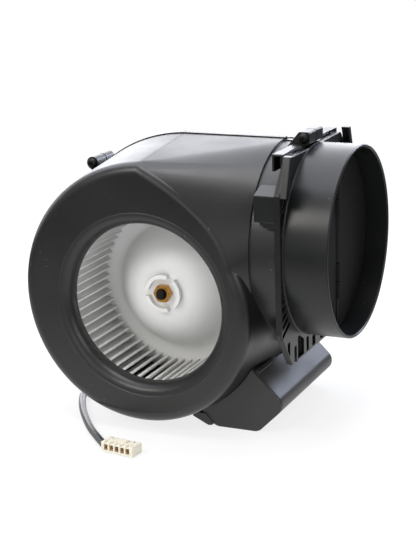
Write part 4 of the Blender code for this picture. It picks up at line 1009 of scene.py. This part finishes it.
# %% Collar plate and ring
FLANGE_BASE = NECK_END + GAP
FLANGE_FACE = FLANGE_BASE + 4.7
HALF_WIDTH = 78.0
COLLAR_RADIUS = 75.0
COLLAR_BORE = 72.5
COLLAR_RIM = FLANGE_FACE + 35.0
OUTLET = (0.0, SEAM, OUTLET_HEIGHT)
PLATE_FOOT = -44.5
PLATE_TOP = 116.0
half_plate = [(HALF_WIDTH - 22.0, PLATE_FOOT), (HALF_WIDTH, -15.0), (HALF_WIDTH, 92.0),
              (HALF_WIDTH - 20.0, PLATE_TOP)]
plate_corners = [(SEAM - offset, z) for offset, z in half_plate[::-1]]
plate_corners += [(SEAM + offset, z) for offset, z in half_plate]
plate = prism("collar", rounded(plate_corners, 4.0, 4), "X", FLANGE_BASE, FLANGE_FACE, edge=0.6)
ring_line = [(0.0, COLLAR_RIM), (COLLAR_RADIUS - 0.8, COLLAR_RIM), (COLLAR_RADIUS, COLLAR_RIM - 0.8),
             (COLLAR_RADIUS, FLANGE_FACE + 0.6), (COLLAR_RADIUS + 0.3, FLANGE_FACE + 0.2),
             (COLLAR_RADIUS + 0.3, FLANGE_BASE + 1.0), (0.0, FLANGE_BASE + 1.0)]
bore_line = [(0.0, FLANGE_BASE - 1.0), (COLLAR_BORE, FLANGE_BASE - 1.0), (COLLAR_BORE, COLLAR_RIM - 0.9),
             (COLLAR_BORE + 0.9, COLLAR_RIM + 0.5), (0.0, COLLAR_RIM + 0.5)]
steps = [("UNION", turned("collar_ring", ring_line, 168, "X", OUTLET)),
         ("DIFFERENCE", turned("collar_bore", bore_line, 168, "X", OUTLET))]

# %% Pockets and slots
# The plate is the same on both sides, so its features are drawn as (distance from the middle, z).
POCKET_TILT = math.tan(math.radians(25.0))
POCKET_HALF = 2.0
POCKET_DEPTH = 3.0
POCKET_ROWS = 6
POCKET_PITCH = 6.6
LOWEST_POCKET = -16.0
EDGE_MARGIN = 2.0
ROOT = COLLAR_RADIUS + 1.6
FOOT_POCKETS = ((23.0, 2.7), (9.0, 3.5))
SLOT = rectangle(46.9, 52.1, PLATE_FOOT - 2.0, PLATE_FOOT + 14.0)
CORNER_POCKETS = ([(75.6, 60.0), (75.6, 78.0), (68.0, 78.0), (68.0, 75.8)],
                  [(75.6, 80.6), (75.6, 90.7), (59.8, 109.6), (56.5, 109.6), (56.5, 94.0), (62.0, 86.6),
                   (66.0, 80.6)],
                  [(66.0, -24.0), (60.5, -24.0), (60.5, -36.5), (66.0, -29.5)],
                  [(44.5, -42.5), (44.5, -25.0), (40.0, -25.0), (31.0, -30.5), (31.0, -42.5)])


def both_sides(operation, name, corners, low, high, edge=0.0):
    for side in (-1.0, 1.0):
        shape = [(SEAM + side * offset, z) for offset, z in corners]
        steps.append((operation, prism(name, shape, "X", low, high, edge)))


def slanted_pocket(z):
    """Corners of a pocket that rises inwards until it meets the ring's root."""
    start = HALF_WIDTH - EDGE_MARGIN
    reach = 0.0
    while math.hypot(start - reach, z + POCKET_HALF + reach * POCKET_TILT - OUTLET_HEIGHT) > ROOT:
        reach += 0.2
    rise = reach * POCKET_TILT
    return [(start, z - POCKET_HALF), (start - reach, z - POCKET_HALF + rise),
            (start - reach, z + POCKET_HALF + rise), (start, z + POCKET_HALF)]


pockets = [slanted_pocket(LOWEST_POCKET + POCKET_PITCH * row) for row in range(POCKET_ROWS)]
pockets += CORNER_POCKETS
for offset, half in FOOT_POCKETS:
    root = OUTLET_HEIGHT - math.sqrt(ROOT ** 2 - offset ** 2)
    pockets.append(rectangle(offset - half, offset + half, PLATE_FOOT + EDGE_MARGIN, root))
for corners in pockets:
    both_sides("DIFFERENCE", "pocket", corners, FLANGE_FACE - POCKET_DEPTH, FLANGE_FACE + 1.0)
both_sides("DIFFERENCE", "slot", rounded(SLOT, 2.0, 5, chosen=(2, 3)), FLANGE_BASE - 1.0, FLANGE_FACE + 1.0)
print("pockets", 2 * len(pockets))

# %% Clips, arms, hoods and roofs
CLIP = rounded(rectangle(70.5, 77.7, 71.0, 91.5), 1.2, 3)
CLIP_SHELF = [(77.5, 86.0), (77.5, 91.3), (63.7, 96.5), (63.7, 93.0)]
CLIP_TAB = rectangle(71.7, 77.0, 67.0, 72.0)
ARM = [(77.6, 90.0), (67.5, 119.0), (62.0, 119.0), (71.5, 90.0)]
HOOD = rounded(rectangle(44.6, 59.6, 106.0, 119.0), 1.0, 3)
HOOD_ROOM = rectangle(46.2, 60.6, 105.0, 117.4)
ROOF = rectangle(18.5, 45.4, 116.7, 118.9)
both_sides("UNION", "clip", CLIP, FLANGE_BASE - 16.0, FLANGE_BASE + 0.5)
both_sides("UNION", "clip_shelf", CLIP_SHELF, FLANGE_BASE - 15.8, FLANGE_BASE + 0.4)
both_sides("UNION", "clip_tab", CLIP_TAB, FLANGE_BASE - 9.0, FLANGE_BASE + 0.3)
both_sides("UNION", "arm", ARM, FLANGE_FACE - 1.2, FLANGE_FACE + 5.0, edge=0.5)
both_sides("UNION", "hood", HOOD, FLANGE_BASE - 8.0, FLANGE_BASE + 0.5)
both_sides("DIFFERENCE", "hood_room", HOOD_ROOM, FLANGE_BASE - 6.4, FLANGE_BASE - 1.6)
both_sides("UNION", "roof", ROOF, FLANGE_BASE - 7.7, FLANGE_BASE - 0.3)
collar = carve(plate, *steps)
settle(collar, "casing", COLLAR_BLACK, "black_plastic", "outlet_collar")

# %% [markdown]
# ## Non-return flaps
# Two half-round flaps turn on a steel spindle in the collar. Air from the fan pushes them open, and they
# fall shut behind it. Each has stiffening ribs and two knuckles.

# %% Flaps
FLAP_X = 128.0
FLAP_RADIUS = 71.5
KNUCKLE = 3.2
FLAP_HALF = 0.75
HINGE = Vector((FLAP_X, SEAM, OUTLET_HEIGHT))
KNUCKLE_LENGTH = 14.0
FLAP_RIBS = (-36.0, -12.0, 12.0, 36.0)


def flap(name, side, stations):
    """Half-round leaf with ribs on its inner side and two knuckles."""
    start = KNUCKLE + GAP
    reach = math.degrees(math.acos(start / FLAP_RADIUS))
    leaf = [polar(FLAP_RADIUS, -reach + 2 * reach * step / 64) for step in range(65)]
    outline = [(SEAM + side * across, OUTLET_HEIGHT + up) for across, up in leaf]
    face = FLAP_X - FLAP_HALF
    pieces = [prism(name, outline, "X", face, FLAP_X + FLAP_HALF, edge=0.3)]
    for up in FLAP_RIBS:
        tip = math.sqrt(FLAP_RADIUS ** 2 - up * up) - 8.0
        level = OUTLET_HEIGHT + up
        rib = rectangle(SEAM + side * 9.0, SEAM + side * tip, level - 0.6, level + 0.6)
        pieces.append(prism("flap_rib", rib, "X", face - 1.4, face + 0.2, edge=0.3))
    for middle in stations:
        low = OUTLET_HEIGHT + middle - KNUCKLE_LENGTH / 2
        high = low + KNUCKLE_LENGTH
        barrel = ring_profile(1.8, KNUCKLE, low, high, 0.4)
        pieces.append(turned("knuckle", barrel, 32, "Z", (FLAP_X, SEAM, 0.0)))
        tab = rectangle(SEAM + side * 2.2, SEAM + side * (start + 2.5), low, high)
        pieces.append(prism("tab", tab, "X", face + 0.1, FLAP_X + FLAP_HALF - 0.1))
    return gather(name, pieces)


INNER_KNUCKLE = 40.0 - KNUCKLE_LENGTH - 2 * GAP
near_flap = flap("flap_near", -1.0, (40.0, -INNER_KNUCKLE))
settle(near_flap, "flap_front", FLAP_SHADED_BLACK, "black_plastic", "flap_front")
far_flap = flap("flap_away", 1.0, (INNER_KNUCKLE, -40.0))
settle(far_flap, "flap_rear", FLAP_SHADED_BLACK, "black_plastic", "flap_rear")
pin_line = [(0.0, -72.2), (1.2, -72.2), (1.5, -71.9), (1.5, 71.9), (1.2, 72.2), (0.0, 72.2)]
# The spindle takes the blackened steel, not plated steel: painted shade for its place deep in the collar.
settle(turned("spindle", pin_line, 32, "Z", HINGE), "casing", DARK_STEEL, "steel", "flap_spindle")

# %% [markdown]
# ## Electrics box
# A five-sided box hangs in the corner between the scroll and the collar. Its front is a separate cover with
# a rounded edge, held by a latch at the lower left, and a lip runs back along its upper edge.

# %% Electrics box
BOX_CORNER = Vector((105.0, -80.2))
BOX_LEFT = 34.0
BOX_FRONT = 31.0
BOX_REAR = 150.0
COVER = 2.0
COVER_GAP = 0.8
BOX_WALL = 2.0
BOX_ROUND = 9.0
BOX_UPPER = 44.0
CLEARANCE = 0.4


def box_outline(inset):
    corner_x = BOX_CORNER.x - inset * math.sqrt(2.0)
    base = FLOOR_LEVEL + inset
    drop = BOX_CORNER.y - base
    left = BOX_LEFT + inset
    corners = [(corner_x - BOX_UPPER, BOX_CORNER.y + BOX_UPPER), (corner_x, BOX_CORNER.y),
               (corner_x - drop, base), (left + drop / 2, base), (left, base + drop / 2)]
    return rounded(corners, BOX_ROUND - inset, 8, chosen=(1, 2, 3))


def keepout(clearance):
    """Cuts that clear both halves of the scroll."""
    return [("DIFFERENCE", scroll_body("keepout", -clearance, SEAM + 1.0, 4, rear)) for rear in (False, True)]


body_front = BOX_FRONT + COVER + COVER_GAP
room = prism("box_room", box_outline(BOX_WALL), "Y", BOX_FRONT - 1.0, BOX_REAR - BOX_WALL)
room = carve(room, *keepout(BOX_WALL + CLEARANCE))
housing = prism("box_housing_shell", box_outline(0.0), "Y", body_front, BOX_REAR, edge=0.8)
housing = carve(housing, *keepout(CLEARANCE), ("DIFFERENCE", room))
bar_start = Vector((79.0, -54.2))
along = Vector((1.0, -1.0)).normalized() * 3.4
inner, outer = [Vector((1.0, 1.0)).normalized() * offset for offset in (-0.5, 1.8)]
bar = [bar_start + inner, bar_start + outer, bar_start + along + outer, bar_start + along + inner]
bar = [tuple(corner) for corner in bar]
lip_bar = prism("box_lip_bar", bar, "Y", body_front + 0.4, body_front + 38.0, edge=0.4)
housing = gather("box_housing_shell", [housing, lip_bar])
settle(housing, "casing", BOX_LIT_BLACK, "black_plastic", "box_housing")
cover = prism("box_cover_plate", box_outline(0.0), "Y", BOX_FRONT, BOX_FRONT + COVER, edge=0.7)
cover = carve(cover, *keepout(CLEARANCE))
latch_shape = [(25.0, -95.5), (36.0, -100.8), (40.0, -102.6), (45.0, -101.8), (38.0, -93.0), (30.0, -92.4)]
box_latch = prism("box_latch", rounded(latch_shape, 1.2, 3), "Y", BOX_FRONT - 1.5, BOX_FRONT + 9.0, edge=0.4)
cover = gather("box_cover_plate", [cover, box_latch])
settle(cover, "casing", BOX_LIT_BLACK, "black_plastic", "box_cover")

# %% [markdown]
# ## Screws
# Pan-head screws with a cross recess hold the halves together and the motor in place. One head is turned
# and cut, and copied to every place. The black ones face forwards and the plated ones face the back.

# %% Screws
HEAD_HEIGHT = 2.4
RECESS_HALF = 0.42
# Depth and half length of the cross at its top and its bottom.
RECESS = ((-0.5, 2.1), (1.5, 1.2))


def pan_screw(name, length, away):
    """Screw about the origin: the head's top is at 0, and away is the way from the head to the tip."""
    tip = HEAD_HEIGHT + length
    line = [(0.0, 0.0), (1.8, 0.06), (3.0, 0.35), (3.7, 0.95), (4.0, 1.7), (4.0, 2.3), (3.9, HEAD_HEIGHT),
            (1.7, HEAD_HEIGHT), (1.7, tip - 1.0), (0.9, tip), (0.0, tip)]
    screw = turned(name, [(radius, away * station) for radius, station in line], 40)
    bars = [(point, away * depth) for depth, size in RECESS
            for point in rectangle(-size, size, -RECESS_HALF, RECESS_HALF)]
    return carve(screw,
                 ("DIFFERENCE", hull("cross", [spot("Y", a, b, depth) for (a, b), depth in bars])),
                 ("DIFFERENCE", hull("cross", [spot("Y", b, a, depth) for (a, b), depth in bars])))


head_front = SEAM - BOSS_FRONT - GAP - HEAD_HEIGHT
casing_screws = copies("casing_screws", pan_screw("black_screw", 26.0, 1.0),
                       [spot("Y", *centre, head_front) for centre, root in BOSSES.values()], DARK_STEEL)
settle(casing_screws, "casing", DARK_STEEL, "dark_steel", *["casing_screw_" + boss for boss in BOSSES])

# %% [markdown]
# ## Motor and its bracket
# Behind the wheel's disc a motor hangs in the rear inlet on a bracket of bent steel sheet. Its three feet
# stand on rubber dampers. Seen from the back, this is what closes the unit.

# %% Motor bracket
STATOR_START = 86.0
STATOR_END = 116.0
SHIELD_FACE = STATOR_END + GAP + 20.0
PLATE_LOW = SHIELD_FACE + GAP
PLATE_HIGH = PLATE_LOW + 2.0
FOOT_LOW = DEPTH + 2 * GAP + 3.0
FOOT_HIGH = FOOT_LOW + 2.0
BOLT_RADIUS = 34.0
BOLT_TURN = 60.0
arm_line = [(38.0, PLATE_LOW + 0.2), (58.0, PLATE_LOW + 0.2), (58.0, FOOT_LOW), (86.0, FOOT_LOW),
            (86.0, FOOT_HIGH), (56.0, FOOT_HIGH), (56.0, PLATE_HIGH - 0.2), (38.0, PLATE_HIGH - 0.2)]
bent = rounded(arm_line, 1.6, 4, chosen=(1, 2, 5, 6))
bracket = turned("bracket", ring_profile(12.0, 42.0, PLATE_LOW, PLATE_HIGH, 0.3), 96)
for degrees in ARM_ANGLES:
    arm = prism("arm", bent, "Z", -7.0, 7.0)
    arm.data.transform(Matrix.Rotation(-math.radians(degrees), 4, "Y"))
    foot = circle(*polar(FOOT_RADIUS, degrees), 2.0, 24)
    bolt = circle(*polar(BOLT_RADIUS, degrees + BOLT_TURN), 2.0, 24)
    carve(bracket, ("UNION", arm),
          ("DIFFERENCE", prism("foot_hole", foot, "Y", FOOT_LOW - 1.0, FOOT_HIGH + 1.0)),
          ("DIFFERENCE", prism("bolt_hole", bolt, "Y", PLATE_LOW - 1.0, PLATE_HIGH + 1.0)))
settle(bracket, "casing", ZINC_STEEL, "steel", "motor_bracket")

# %% Dampers and bolts
PUCK = [(2.0, 0.0), (6.0, 0.0), (6.0, 3.0), (2.0, 3.0)]


def on_arms(radius, station, turn=0.0):
    """The same place on each of the three arms."""
    return [spot("Y", *polar(radius, degrees + turn), station) for degrees in ARM_ANGLES]


foot_places = on_arms(FOOT_RADIUS, FOOT_HIGH + GAP + HEAD_HEIGHT)
foot_screws = copies("foot_screws", pan_screw("plated_screw", 13.0, -1.0), foot_places, ZINC_STEEL)
settle(foot_screws, "casing", ZINC_STEEL, "steel", *numbered("damper_screw", 3))
bolt_places = on_arms(BOLT_RADIUS, PLATE_HIGH + GAP + HEAD_HEIGHT, BOLT_TURN)
motor_bolts = copies("motor_bolts", pan_screw("plated_bolt", 3.5, -1.0), bolt_places, ZINC_STEEL)
settle(motor_bolts, "casing", ZINC_STEEL, "steel", *numbered("motor_bolt", 3))
puck = turned("damper", rounded(PUCK, 0.7, 4), 48)
dampers = copies("dampers", puck, on_arms(FOOT_RADIUS, DEPTH + GAP), RUBBER)
settle(dampers, "casing", RUBBER, "rubber", *numbered("damper", 3))

# %% Motor shell
SHIELD_START = STATOR_END + GAP
shield_line = [(6.0, SHIELD_FACE), (46.0, SHIELD_FACE), (46.0, SHIELD_START), (44.0, SHIELD_START),
               (44.0, SHIELD_FACE - 2.0), (6.0, SHIELD_FACE - 2.0)]
shield = turned("shield_back", rounded(shield_line, 1.2, 5), 96)
settle(shield, "casing", ZINC_STEEL, "steel", "end_shield_rear")
core_line = ring_profile(26.0, 46.0, STATOR_START, STATOR_END, 0.4)
settle(turned("stator", core_line, 96), "casing", ZINC_STEEL, "steel", "stator_core")

# %% [markdown]
# ## Pieces inside
# What stays inside the motor and the box keeps its solid, and only takes the finish of its material.

# %% Finishes of the inner pieces
BY_SLOT = {"steel": ZINC_STEEL, "copper": COPPER, "ivory_plastic": NYLON, "board": BOARD, "rubber": RUBBER,
           "brass": BRASS, "black_plastic": CASING_BLACK, "dark_steel": DARK_STEEL,
           "white_plastic": WHEEL_WHITE, "cable_sheath": SHEATH}
for entry in frame["record"]["subparts"]:
    node = frame["nodes"][entry["node"]]
    if not node.hide_render:
        node.material_slots[0].material = BY_SLOT[entry["material_slot"]]
        print("inner piece", entry["node"])
